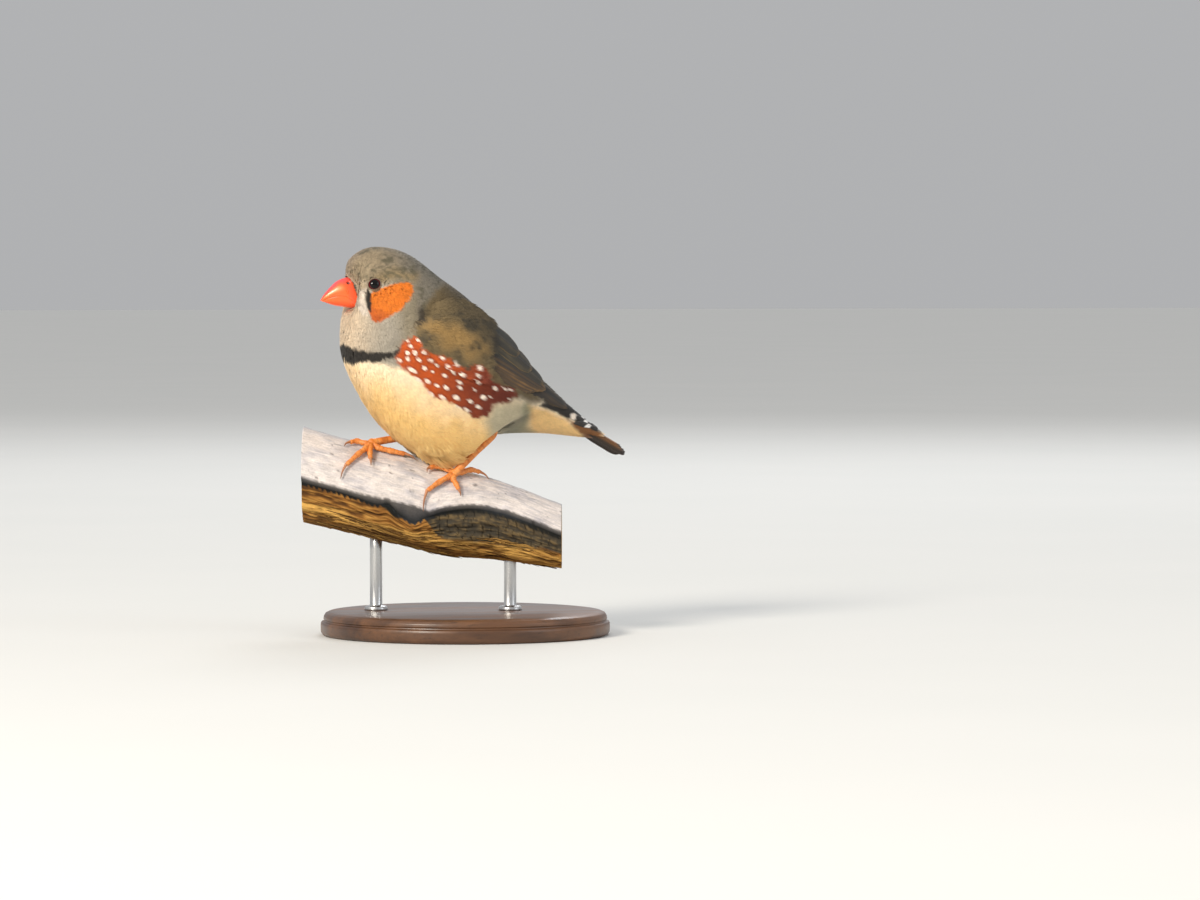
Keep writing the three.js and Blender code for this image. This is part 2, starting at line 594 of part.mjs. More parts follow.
const room = wingRoom(-1.5 * GAP, 0.012);
const rooms = [room, mirrored(room), stalk().translate(0, 0, GAP + 0.05)];
add(bird, "head", head(), 0x8d857a);
add(bird, "neck", geometryOf(cut(solidOf(bodyLength(...NECK)), rooms)), 0x9a9388);
add(bird, "torso", geometryOf(cut(solidOf(bodyLength(...TORSO)), rooms)), 0xe8d3ac);
add(bird, "rump", geometryOf(cut(solidOf(bodyLength(...RUMP)), rooms)), 0xe8dcc0);
for (const [name, geometry] of Object.entries(billPieces())) add(bird, name, geometry, 0xf06a35, 0.35);
add(bird, "eye_left", eyeBall(EYE_RADIUS), 0x160b08, 0.1);
add(bird, "eye_right", mirrored(eyeBall(EYE_RADIUS)), 0x160b08, 0.1);
add(bird, "wing_left", wing(), 0x5b4a38);
add(bird, "wing_right", mirrored(wing()), 0x5b4a38);
add(bird, "tail", geometryOf(tail()), 0x3a2c20);
const plumage = joined([bodyLength(...TORSO, GAP), bodyLength(...RUMP, GAP)]);
for (const side of ["left", "right"]) {
  for (const [name, geometry] of Object.entries(legPieces(side, plumage))) {
    add(bird, name, geometry, name.startsWith("claw") ? 0x8c6a55 : 0xe08a48, 0.5);
  }
}
add(stand, "perch", stalk(), 0xcfc6c0, 0.9);
add(stand, "stand_base", standBase(), 0x3b2a1e, 0.5);
for (const [name, along] of Object.entries(ROD_PLACES)) {
  add(stand, name, rodBetween(along, BASE_HEIGHT + GAP, rodTop(along), ROD_RADIUS), 0xb8b8b8, 0.3, 1);
}

export default display;
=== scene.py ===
import math

import bpy
import numpy as np
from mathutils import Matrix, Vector


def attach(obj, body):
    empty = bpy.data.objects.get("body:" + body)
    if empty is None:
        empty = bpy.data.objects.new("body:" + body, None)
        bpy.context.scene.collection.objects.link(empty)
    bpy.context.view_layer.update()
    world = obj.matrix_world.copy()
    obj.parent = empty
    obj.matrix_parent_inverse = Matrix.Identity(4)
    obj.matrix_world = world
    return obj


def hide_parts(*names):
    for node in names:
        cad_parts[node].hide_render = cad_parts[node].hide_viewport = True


# A male zebra finch on a cut length of dead palm stalk, held by a plain stand.
# Places and sizes are in millimetres. The bird faces -X, its left side is -Y and its mid plane is y = 0.

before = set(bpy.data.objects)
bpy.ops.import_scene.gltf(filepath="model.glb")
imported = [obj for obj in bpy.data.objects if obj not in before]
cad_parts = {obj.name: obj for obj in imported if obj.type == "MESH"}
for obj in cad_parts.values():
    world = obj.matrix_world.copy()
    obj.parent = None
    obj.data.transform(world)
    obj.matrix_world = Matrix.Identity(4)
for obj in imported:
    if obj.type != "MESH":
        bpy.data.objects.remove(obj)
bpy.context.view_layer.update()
print("frame loaded")

millimetre = 0.001
turnOfView = math.radians(-15)  # the camera stands this far round to the bird's front
sides = {"Left": 1, "Right": -1}  # what each side makes of a place on the left, across the mid plane


# Numbers and colours

def tone(red, green, blue):  # a colour as a screen shows it, made linear
    seen = np.array([red, green, blue]) / 255
    return np.where(seen <= 0.04045, seen / 12.92, ((seen + 0.055) / 1.055) ** 2.4)


def smooth(value, low, high):
    share = np.clip((value - low) / (high - low), 0, 1)
    return share * share * (3 - 2 * share)


def blendOf(first, second, share):
    return first + (second - first) * share


def column(values):
    return np.asarray(values)[..., None]


def lay(colour, other, share):  # one colour over another, by shares from 0 to 1
    return blendOf(colour, other, column(np.clip(share, 0, 1)))


def bell(value, middle, width):  # 1 at the middle, falling off softly to both sides
    return np.exp(-(((value - middle) / width) ** 2))


def dot(first, second):
    return np.einsum("ij,ij->i", first, second)


def anglesRound(count):
    return np.linspace(0, 2 * math.pi, count, endpoint=False)


def gridPairs(first, second):  # every value of the first with every value of the second
    return [values.ravel() for values in np.meshgrid(first, second, indexing="ij")]


def unit(vectors):
    return vectors / np.maximum(np.linalg.norm(vectors, axis=-1, keepdims=True), 1e-9)


def lineThrough(stations, share):  # a smooth line through stations, at shares from 0 to 1
    stations = np.asarray(stations, float)
    ends = np.vstack([2 * stations[0] - stations[1], stations, 2 * stations[-1] - stations[-2]])
    place = np.clip(share, 0, 1) * (len(stations) - 1)
    first = np.minimum(place.astype(int), len(stations) - 2)
    f = column(place - first)
    before, start, end, after = (ends[first + k] for k in range(4))
    leaving, arriving = (end - before) / 2, (after - start) / 2
    return ((2 * f**3 - 3 * f**2 + 1) * start + (f**3 - 2 * f**2 + f) * leaving
            + (3 * f**2 - 2 * f**3) * end + (f**3 - f**2) * arriving)


lumps = np.random.default_rng(11).random((32, 32, 32))


def noiseAt(points, size):  # soft noise from -1 to 1 with lumps of about that size
    cell = points / size
    base = np.floor(cell).astype(int)
    f = cell - base
    f = f * f * (3 - 2 * f)
    total = np.zeros(len(points))
    for corner in np.ndindex(2, 2, 2):
        weight = np.prod(np.where(np.array(corner) > 0, f, 1 - f), axis=1)
        i, j, k = ((base + corner) % 32).T
        total += weight * lumps[i, j, k]
    return 2 * total - 1


def outlineDistance(places, outline):  # distance to a closed outline, below zero inside it
    corners = np.array(outline, float)
    nearest = np.full(len(places), np.inf)
    inside = np.zeros(len(places), bool)
    for start, end in zip(corners, np.roll(corners, -1, axis=0)):
        edge, offset = end - start, places - start
        share = np.clip(offset @ edge / (edge @ edge), 0, 1)
        nearest = np.minimum(nearest, np.linalg.norm(offset - column(share) * edge, axis=1))
        if start[1] != end[1]:
            crossing = start[0] + offset[:, 1] * edge[0] / edge[1]
            inside ^= ((start[1] > places[:, 1]) != (end[1] > places[:, 1])) & (places[:, 0] < crossing)
    return np.where(inside, -nearest, nearest)


# Making pieces

def makeMesh(name, points, faces, colours, maps):  # colours by point, maps by point too
    mesh = bpy.data.meshes.new(name)
    faces = [np.asarray(group) for group in (faces if isinstance(faces, list) else [faces])]
    mesh.vertices.add(len(points))
    mesh.vertices.foreach_set("co", (points * millimetre).astype(np.float32).ravel())
    corners = np.concatenate([group.ravel() for group in faces])
    sizes = np.concatenate([np.full(len(group), group.shape[1]) for group in faces])
    mesh.loops.add(len(corners))
    mesh.loops.foreach_set("vertex_index", corners.astype(np.int32))
    mesh.polygons.add(len(sizes))
    mesh.polygons.foreach_set("loop_start", (np.cumsum(sizes) - sizes).astype(np.int32))
    for key, values in colours.items():
        layer = mesh.color_attributes.new(name=key, type="FLOAT_COLOR", domain="POINT")
        rgba = np.hstack([values, np.ones((len(values), 1))])
        layer.data.foreach_set("color", rgba.astype(np.float32).ravel())
    for key, values in maps.items():
        layer = mesh.uv_layers.new(name=key)
        layer.data.foreach_set("uv", values[corners].astype(np.float32).ravel())
    mesh.update(calc_edges=True)
    mesh.polygons.foreach_set("use_smooth", np.full(len(sizes), True))
    return mesh


def buildPiece(name, points, faces, colours, maps, material, slot, *replaced):
    mesh = makeMesh(name, points, faces, colours, maps)
    mesh.materials.append(material)
    piece = bpy.data.objects.new(name, mesh)
    bpy.context.scene.collection.objects.link(piece)
    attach(piece, "root")
    if replaced:
        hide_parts(*replaced)
    return mesh


def gridFaces(rows, columns, closed=False):  # quads over a grid of points, its rows closed to rings if asked
    i, j = gridPairs(np.arange(rows - 1), np.arange(columns if closed else columns - 1))
    first, second = i * columns + j, i * columns + (j + 1) % columns
    return np.stack([first, second, second + columns, first + columns], axis=1)


def closedTube(rings):  # rings (n, m, 3) as one closed surface with a centre point at each end
    count, columns = rings.shape[:2]
    points = np.vstack([rings.reshape(-1, 3), rings[0].mean(0), rings[-1].mean(0)])
    here = np.arange(columns)
    ahead = (here + 1) % columns
    last = (count - 1) * columns
    centre = np.full(columns, count * columns)
    quads = gridFaces(count, columns, closed=True)
    caps = [np.stack([centre, ahead, here], axis=1),
            np.stack([centre + 1, last + here, last + ahead], axis=1)]
    return points, [quads, np.vstack(caps)]


def slab(top, bottom):  # two grids (n, m, 3) as the two faces of one closed plate
    rows, columns = top.shape[:2]
    grid = gridFaces(rows, columns)
    i, j = np.arange(rows), np.arange(columns)
    rim = np.concatenate([j[:-1], i[:-1] * columns + columns - 1, (rows - 1) * columns + j[:0:-1],
                          i[:0:-1] * columns])
    ahead = np.roll(rim, -1)
    sides = np.stack([rim, ahead, ahead + rows * columns, rim + rows * columns], axis=1)
    points = np.vstack([top.reshape(-1, 3), bottom.reshape(-1, 3)])
    return points, outwards(points, [np.vstack([grid[:, ::-1], grid + rows * columns, sides])])


def outwards(points, faces):  # turns all faces round if they look inwards
    volume = 0
    middle = points.mean(0)
    for group in faces:
        a, b, c = (points[group[:, k]] - middle for k in (0, 1, 2))
        volume += np.einsum("ij,ij->", a, np.cross(b, c))
        if group.shape[1] == 4:
            volume += np.einsum("ij,ij->", a, np.cross(c, points[group[:, 3]] - middle))
    return faces if volume > 0 else [group[:, ::-1] for group in faces]


def joinParts(parts):  # parts are (points, faces, colours, maps), joined into one set of the same
    colours = {key: np.vstack([part[2][key] for part in parts]) for key in parts[0][2]}
    maps = {key: np.vstack([part[3][key] for part in parts]) for key in parts[0][3]}
    starts = np.cumsum([0] + [len(part[0]) for part in parts])
    groups = [group + start for part, start in zip(parts, starts) for group in part[1]]
    faces = [np.vstack([g for g in groups if g.shape[1] == size]) for size in (3, 4)
             if any(g.shape[1] == size for g in groups)]
    return np.vstack([part[0] for part in parts]), faces, colours, maps


def gridMap(rows, columns, cell=0, cells=1):  # a grid's place on the baking map, in one of so many cells
    up, across = gridPairs(np.linspace(0.02, 0.98, rows), np.linspace(0.02, 0.98, columns))
    wide = math.ceil(math.sqrt(cells))
    return np.stack([(across + cell % wide) / wide, (up + cell // wide) / wide], axis=1)


def tubeMap(rows, columns, ends=((0.5, 0.005), (0.5, 0.995)), cell=0, cells=1):  # with two centre points
    return np.vstack([gridMap(rows, columns, cell, cells), np.broadcast_to(ends, (2, 2))])


def limb(stations, radius, columns, steps, reference=(0, 0, 1), relief=None):  # a round rod along stations
    share = np.linspace(0, 1, steps)
    line = lineThrough(stations, share)
    tangent = unit(np.gradient(line, axis=0))
    side = unit(np.cross(reference, tangent))
    up = np.cross(tangent, side)
    turn = anglesRound(columns)
    size = column(radius(share)) * np.ones(columns)
    if relief:
        size = size * (1 + relief(share[:, None], turn[None, :]))
    rings = (line[:, None] + size[..., None] * (np.cos(turn)[None, :, None] * up[:, None]
             + np.sin(turn)[None, :, None] * side[:, None]))
    points, faces = closedTube(rings)
    return points, outwards(points, faces)


# Materials

def newMaterial(name, sockets):
    material = bpy.data.materials.new(name)
    material.use_nodes = True
    shader = material.node_tree.nodes["Principled BSDF"]
    for socket, value in sockets.items():
        shader.inputs[socket].default_value = value
    return material, material.node_tree, shader.inputs


def newGroup(name, inputs, outputs):
    group = bpy.data.node_groups.new(name, "ShaderNodeTree")
    for label, kind, value in inputs:
        socket = group.interface.new_socket(name=label, in_out="INPUT", socket_type=kind)
        if value is not None:
            socket.default_value = value
    for label, kind in outputs:
        group.interface.new_socket(name=label, in_out="OUTPUT", socket_type=kind)
    given, result = (group.nodes.new("NodeGroup" + end) for end in ("Input", "Output"))
    return group, given.outputs, result.inputs


def feed(tree, value, socket):  # a link from another node's socket, or else the socket's own value
    if isinstance(value, bpy.types.NodeSocket):
        tree.links.new(value, socket)
    elif value is not None:
        socket.default_value = value


def useGroup(tree, group, **values):
    node = tree.nodes.new("ShaderNodeGroup")
    node.node_tree = group
    for label, value in values.items():
        feed(tree, value, node.inputs[label])
    return node.outputs


def mathNode(tree, kind, first, second=None):
    node = tree.nodes.new("ShaderNodeMath")
    node.operation = kind
    feed(tree, first, node.inputs[0])
    feed(tree, second, node.inputs[1])
    return node.outputs[0]


def rangeNode(tree, value, fromLow, fromHigh, toLow=0.0, toHigh=1.0, kind="SMOOTHSTEP"):
    node = tree.nodes.new("ShaderNodeMapRange")
    node.interpolation_type = kind
    labels = "Value", "From Min", "From Max", "To Min", "To Max"
    for label, given in zip(labels, (value, fromLow, fromHigh, toLow, toHigh)):
        feed(tree, given, node.inputs[label])
    return node.outputs["Result"]


def mixNode(tree, share, first, second, kind="MIX"):
    node = tree.nodes.new("ShaderNodeMix")
    node.data_type = "RGBA"
    node.blend_type = kind
    feed(tree, share, node.inputs[0])
    for place, colour in ((6, first), (7, second)):
        plain = not isinstance(colour, bpy.types.NodeSocket)
        feed(tree, (*colour, 1) if plain else colour, node.inputs[place])
    return node.outputs[2]


def noiseNode(tree, place, scale, detail, roughness=0.6, stretch=None):
    if stretch:
        mapping = tree.nodes.new("ShaderNodeMapping")
        mapping.inputs["Scale"].default_value = stretch
        tree.links.new(place, mapping.inputs["Vector"])
        place = mapping.outputs[0]
    node = tree.nodes.new("ShaderNodeTexNoise")
    for label, value in (("Vector", place), ("Scale", scale), ("Detail", detail), ("Roughness", roughness)):
        feed(tree, value, node.inputs[label])
    return node.outputs["Fac"]


def scaleNode(tree, colour, level):
    node = tree.nodes.new("ShaderNodeVectorMath")
    node.operation = "SCALE"
    tree.links.new(colour, node.inputs[0])
    tree.links.new(level, node.inputs["Scale"])
    return node.outputs[0]


def addBump(tree, shader, height, distance, strength):
    bump = tree.nodes.new("ShaderNodeBump")
    bump.inputs["Distance"].default_value = distance * millimetre
    bump.inputs["Strength"].default_value = strength
    tree.links.new(height, bump.inputs["Height"])
    tree.links.new(bump.outputs[0], shader["Normal"])


def objectPlace(tree):
    return tree.nodes.new("ShaderNodeTexCoord").outputs["Object"]


def mapPlace(tree, name):
    node = tree.nodes.new("ShaderNodeUVMap")
    node.uv_map = name
    return node.outputs[0]


def paintedColour(tree, layer):
    node = tree.nodes.new("ShaderNodeVertexColor")
    node.layer_name = layer
    return node.outputs["Color"]


def makeMottle():  # light and dark flecks over a colour, in two sizes
    tree, given, result = newGroup(
        "mottle",
        [("Color", "NodeSocketColor", None), ("Coarse", "NodeSocketFloat", 0.3),
         ("Fine", "NodeSocketFloat", 1.5), ("Amount", "NodeSocketFloat", 0.3)],
        [("Color", "NodeSocketColor"), ("Height", "NodeSocketFloat")])
    place = objectPlace(tree)
    layers = []
    for label, detail, share in (("Coarse", 3.0, 0.6), ("Fine", 2.0, 0.4)):
        scale = mathNode(tree, "MULTIPLY", given[label], 1 / millimetre)
        layers.append(mathNode(tree, "MULTIPLY", noiseNode(tree, place, scale, detail, 0.5), share))
    height = mathNode(tree, "ADD", *layers)
    swing = mathNode(tree, "MULTIPLY", mathNode(tree, "SUBTRACT", height, 0.5), given["Amount"])
    level = mathNode(tree, "ADD", mathNode(tree, "MULTIPLY", swing, 3.0), 1.0)
    tree.links.new(scaleNode(tree, given["Color"], level), result["Color"])
    tree.links.new(height, result["Height"])
    return tree


def makeVaneBarbs():  # a feather's shaft, edge and barb lines from its own map, across and along from 0 to 1
    tree, given, result = newGroup(
        "vaneBarbs",
        [("Map", "NodeSocketVector", None), ("Barbs", "NodeSocketFloat", 60.0),
         ("Slant", "NodeSocketFloat", 0.35)],
        [("Shaft", "NodeSocketFloat"), ("Edge", "NodeSocketFloat"), ("Height", "NodeSocketFloat")])
    parts = tree.nodes.new("ShaderNodeSeparateXYZ")
    tree.links.new(given["Map"], parts.inputs[0])
    side = mathNode(tree, "ABSOLUTE", mathNode(tree, "SUBTRACT", parts.outputs["X"], 0.5))
    slant = mathNode(tree, "MULTIPLY", side, given["Slant"])
    lines = mathNode(tree, "MULTIPLY", mathNode(tree, "SUBTRACT", parts.outputs["Y"], slant), given["Barbs"])
    wave = mathNode(tree, "SINE", mathNode(tree, "MULTIPLY", lines, 2 * math.pi))
    shaft = rangeNode(tree, side, 0.015, 0.05, 1.0, 0.0)
    tree.links.new(shaft, result["Shaft"])
    sideEdge = rangeNode(tree, side, 0.42, 0.49)
    tipEdge = rangeNode(tree, parts.outputs["Y"], 0.94, 0.99)
    tree.links.new(mathNode(tree, "MAXIMUM", sideEdge, tipEdge), result["Edge"])
    height = mathNode(tree, "ADD", mathNode(tree, "MULTIPLY", wave, 0.25), shaft)
    tree.links.new(height, result["Height"])
    return tree


mottle = makeMottle()
vaneBarbs = makeVaneBarbs()

finishes = {  # flecks: how fine their two sizes are and how strong; bump: depth and strength
    "plumageSoft": {"flecks": (0.35, 2.2, 0.16), "bump": (0.05, 0.3),
                    "sockets": {"Roughness": 0.78, "Sheen Weight": 0.12, "Sheen Roughness": 0.5}},
    "wingFeathers": {"flecks": (0.5, 2.5, 0.2), "barbs": 52.0, "shaft": (0.03, 0.022, 0.016), "edge": 0.55,
                     "sockets": {"Roughness": 0.6, "Sheen Weight": 0.06}},
    "tailFeathers": {"flecks": (0.5, 2.5, 0.2), "barbs": 46.0, "shaft": (0.05, 0.03, 0.02), "edge": 0.5,
                     "sockets": {"Roughness": 0.55, "Sheen Weight": 0.06}},
    "billHorn": {"flecks": (0.5, 3.0, 0.12),
                 "sockets": {"Roughness": 0.34, "Coat Weight": 0.35, "Coat Roughness": 0.2}},
    "eyeGloss": {"flecks": (1.5, 4.0, 0.3), "sockets": {"Roughness": 0.12, "Coat Weight": 0.22,
                                                        "Coat Roughness": 0.02, "Specular IOR Level": 0.15}},
    "bareSkin": {"flecks": (0.8, 3.0, 0.22), "bump": (0.08, 0.5),
                 "sockets": {"Roughness": 0.5, "Coat Weight": 0.08, "Coat Roughness": 0.4}},
    "clawHorn": {"flecks": (0.8, 3.0, 0.15), "bump": (0.08, 0.5),
                 "sockets": {"Roughness": 0.35, "Coat Weight": 0.08, "Coat Roughness": 0.4}},
    "weatheredStalk": {"flecks": (0.25, 1.6, 0.3), "sockets": {"Roughness": 0.85, "Specular IOR Level": 0.2}},
}


def makeFinish(name):  # the painted marking with its flecks
    finish = finishes[name]
    material, tree, shader = newMaterial(name, finish["sockets"])
    coarse, fine, amount = finish["flecks"]
    painted = paintedColour(tree, "marking")
    flecks = useGroup(tree, mottle, Color=painted, Coarse=coarse, Fine=fine, Amount=amount)
    tree.links.new(flecks["Color"], shader["Base Color"])
    if "bump" in finish:
        addBump(tree, shader, flecks["Height"], *finish["bump"])
    return material, tree, shader, flecks


def makeVaned(name):
    finish = finishes[name]
    material, tree, shader, flecks = makeFinish(name)
    lines = useGroup(tree, vaneBarbs, Map=mapPlace(tree, "featherMap"), Barbs=finish["barbs"])
    edge = mathNode(tree, "MULTIPLY", lines["Edge"], finish["edge"])
    colour = mixNode(tree, edge, flecks["Color"], paintedColour(tree, "edging"))
    colour = mixNode(tree, mathNode(tree, "MULTIPLY", lines["Shaft"], 0.7), colour, finish["shaft"])
    # painted shade in the grooves between the barbs: the colour darkens where the barb lines run low
    dark = mixNode(tree, rangeNode(tree, lines["Height"], -0.25, 0.1), (0.72, 0.72, 0.72), (1, 1, 1))
    tree.links.new(mixNode(tree, 1.0, colour, dark, "MULTIPLY"), shader["Base Color"])
    addBump(tree, shader, lines["Height"], 0.06, 0.6)
    return material


# The body's form

ribs = {
    "places": [  # top x and z, bottom x and z, in the mid plane
        (-35.2, 104.2, -33.6, 95.0), (-35.4, 105.2, -35.6, 93.9), (-34.0, 109.2, -36.4, 91.2),
        (-29.0, 112.3, -36.7, 87.9), (-22.5, 112.3, -36.8, 84.4), (-15.8, 109.8, -36.4, 81.2),
        (-8.4, 104.2, -34.9, 76.9), (0.0, 98.0, -32.0, 71.1), (8.5, 89.9, -26.6, 62.8),
        (15.4, 81.6, -18.9, 55.3), (21.6, 74.8, -6.4, 49.5), (27.4, 69.4, 2.4, 57.0),
        (33.4, 64.0, 19.6, 58.4), (39.4, 59.7, 35.8, 57.0)],
    "shapes": [  # half width, where from top to bottom it is widest, how square, how far the sides sweep back
        (3.9, 0.5, 2.0, 2.0), (5.8, 0.5, 2.1, 3.0), (8.0, 0.48, 2.2, 1.8), (9.1, 0.5, 2.2, 0.6),
        (9.9, 0.52, 2.2, 0), (12.0, 0.55, 2.2, 0), (14.6, 0.56, 2.2, 0), (16.6, 0.54, 2.3, 0),
        (17.4, 0.52, 2.3, 0), (16.6, 0.52, 2.3, 0), (14.0, 0.5, 2.2, 0), (10.0, 0.48, 2.1, 0),
        (6.6, 0.48, 2.0, 0), (3.6, 0.5, 2.0, 0)],
}
lastRib = len(ribs["places"]) - 1


def bodySurface(rib, angle):  # angle is 0 at the top, half a turn at the bottom and positive to the right
    share = np.clip(rib / lastRib, 0, 1)
    ends = lineThrough(ribs["places"], share)
    half, waistShare, square, swept = lineThrough(ribs["shapes"], share).T
    top, bottom = ends[:, :2], ends[:, 2:]
    waist = top + (bottom - top) * column(waistShare)
    end = np.where(column(np.cos(angle)) > 0, top, bottom)
    reach = np.abs(np.sin(angle)) ** (2 / square)
    flat = waist + (end - waist) * column(np.abs(np.cos(angle)) ** (2 / square))
    y = np.sign(np.sin(angle)) * half * reach
    return np.stack([flat[:, 0] + swept * reach**2, y, flat[:, 1]], axis=1)


def bodyPoint(rib, angle, grow=0.0):  # that far out from the body's surface
    home = bodySurface(rib, angle)
    if np.all(grow == 0):
        return home
    ahead, behind = np.minimum(rib + 0.02, lastRib), np.maximum(rib - 0.02, 0)
    forward = bodySurface(ahead, angle) - bodySurface(behind, angle)
    sideways = bodySurface(rib, angle + 0.02) - bodySurface(rib, angle - 0.02)
    return home + unit(np.cross(forward, sideways)) * column(grow)


def sideOfBody(x, z):  # half the body's width at a place in side view
    low, high = np.ones(len(x)), np.full(len(x), float(lastRib))
    for _ in range(18):
        middle = (low + high) / 2
        topX, topZ, bottomX, bottomZ = lineThrough(ribs["places"], middle / lastRib).T
        behind = (bottomX - topX) * (z - topZ) - (bottomZ - topZ) * (x - topX) > 0
        low, high = np.where(behind, middle, low), np.where(behind, high, middle)
    topX, topZ, bottomX, bottomZ = lineThrough(ribs["places"], low / lastRib).T
    half, waistShare, square, _ = lineThrough(ribs["shapes"], low / lastRib).T
    share = (z - topZ) / (bottomZ - topZ)
    reach = np.where(share < waistShare, (waistShare - share) / waistShare,
                     (share - waistShare) / (1 - waistShare))
    return half * (1 - np.clip(reach, 0, 1) ** square) ** (1 / square)


wingBed = {
    "top": [(-19.4, 92.4), (-6.0, 95.8), (6.8, 88.0), (19.0, 77.0), (29.2, 65.6)],  # x and z, bend to tip
    "foot": [(-21.5, 88.0), (-10.5, 79.4), (2.5, 73.8), (15.0, 68.6), (28.6, 64.0)],
    "bend": 0.14,
    "arm": 0.3,
    "sink": (2.7, 1.3, 0.7),  # below the body's outline, at the bend, the end of the arm and the tip
}


def bedPoint(u, v):  # the surface under the folded left wing
    place = blendOf(lineThrough(wingBed["top"], u), lineThrough(wingBed["foot"], u), column(v))
    sink = np.interp(u, [0, wingBed["arm"], 1], wingBed["sink"])
    onBody = sideOfBody(place[:, 0], place[:, 1]) - sink
    free = blendOf(blendOf(12, 3.0, u), blendOf(16, 4.2, u), v)
    y = -0.5 * (onBody + free + np.hypot(onBody - free, 2.5))
    return np.stack([place[:, 0], y, place[:, 1]], axis=1)


def bedNormal(u, v):
    step = 0.02
    forward = bedPoint(np.minimum(u + step, 1), v) - bedPoint(np.maximum(u - step, 0), v)
    down = bedPoint(u, v + step) - bedPoint(u, v - step)
    normal = unit(np.cross(forward, down))
    return np.where(normal[:, 1:2] > 0, -normal, normal)


def wingPoint(u, v, lift):  # that far over the bed, with the wing's front end rounded
    front = 1 - np.clip(u / wingBed["bend"], 0, 1)
    rounded = blendOf(0.5, v, np.maximum(np.sqrt(1 - front**2), 0.35))
    return bedPoint(u, rounded) + bedNormal(u, rounded) * column(lift)


def wingOutline():  # the folded wing in side view
    share = np.linspace(0, 1, 16)
    return np.vstack([lineThrough(wingBed["top"], share), lineThrough(wingBed["foot"], share)[::-1]])


# Markings

marks = {
    "crown": tone(154, 137, 110), "crownDark": tone(88, 83, 62), "nape": tone(126, 118, 104),
    "brow": tone(146, 126, 92), "forehead": tone(150, 132, 116),
    "back": tone(112, 94, 62), "backDark": tone(62, 54, 38), "wingGold": tone(158, 124, 70),
    "neckSide": tone(168, 158, 142), "neckLow": tone(154, 146, 132), "neckRear": tone(142, 130, 106),
    "throat": tone(216, 194, 166), "lores": tone(180, 160, 132), "whitish": tone(212, 198, 182),
    "black": tone(38, 33, 27), "cheek": tone(224, 118, 20), "cheekLow": tone(188, 86, 18),
    "bellyTop": tone(255, 236, 206), "bellyLow": tone(250, 208, 132), "thigh": tone(190, 178, 148),
    # the lower thigh's grey-green tone is painted shade under the thigh
    "thighShade": tone(122, 122, 96), "undertail": tone(240, 200, 134), "chestnut": tone(196, 82, 18),
    "chestnutDark": tone(112, 40, 18), "spot": tone(254, 238, 220), "grey": tone(96, 92, 86),
    "tailBase": tone(128, 82, 40),
}

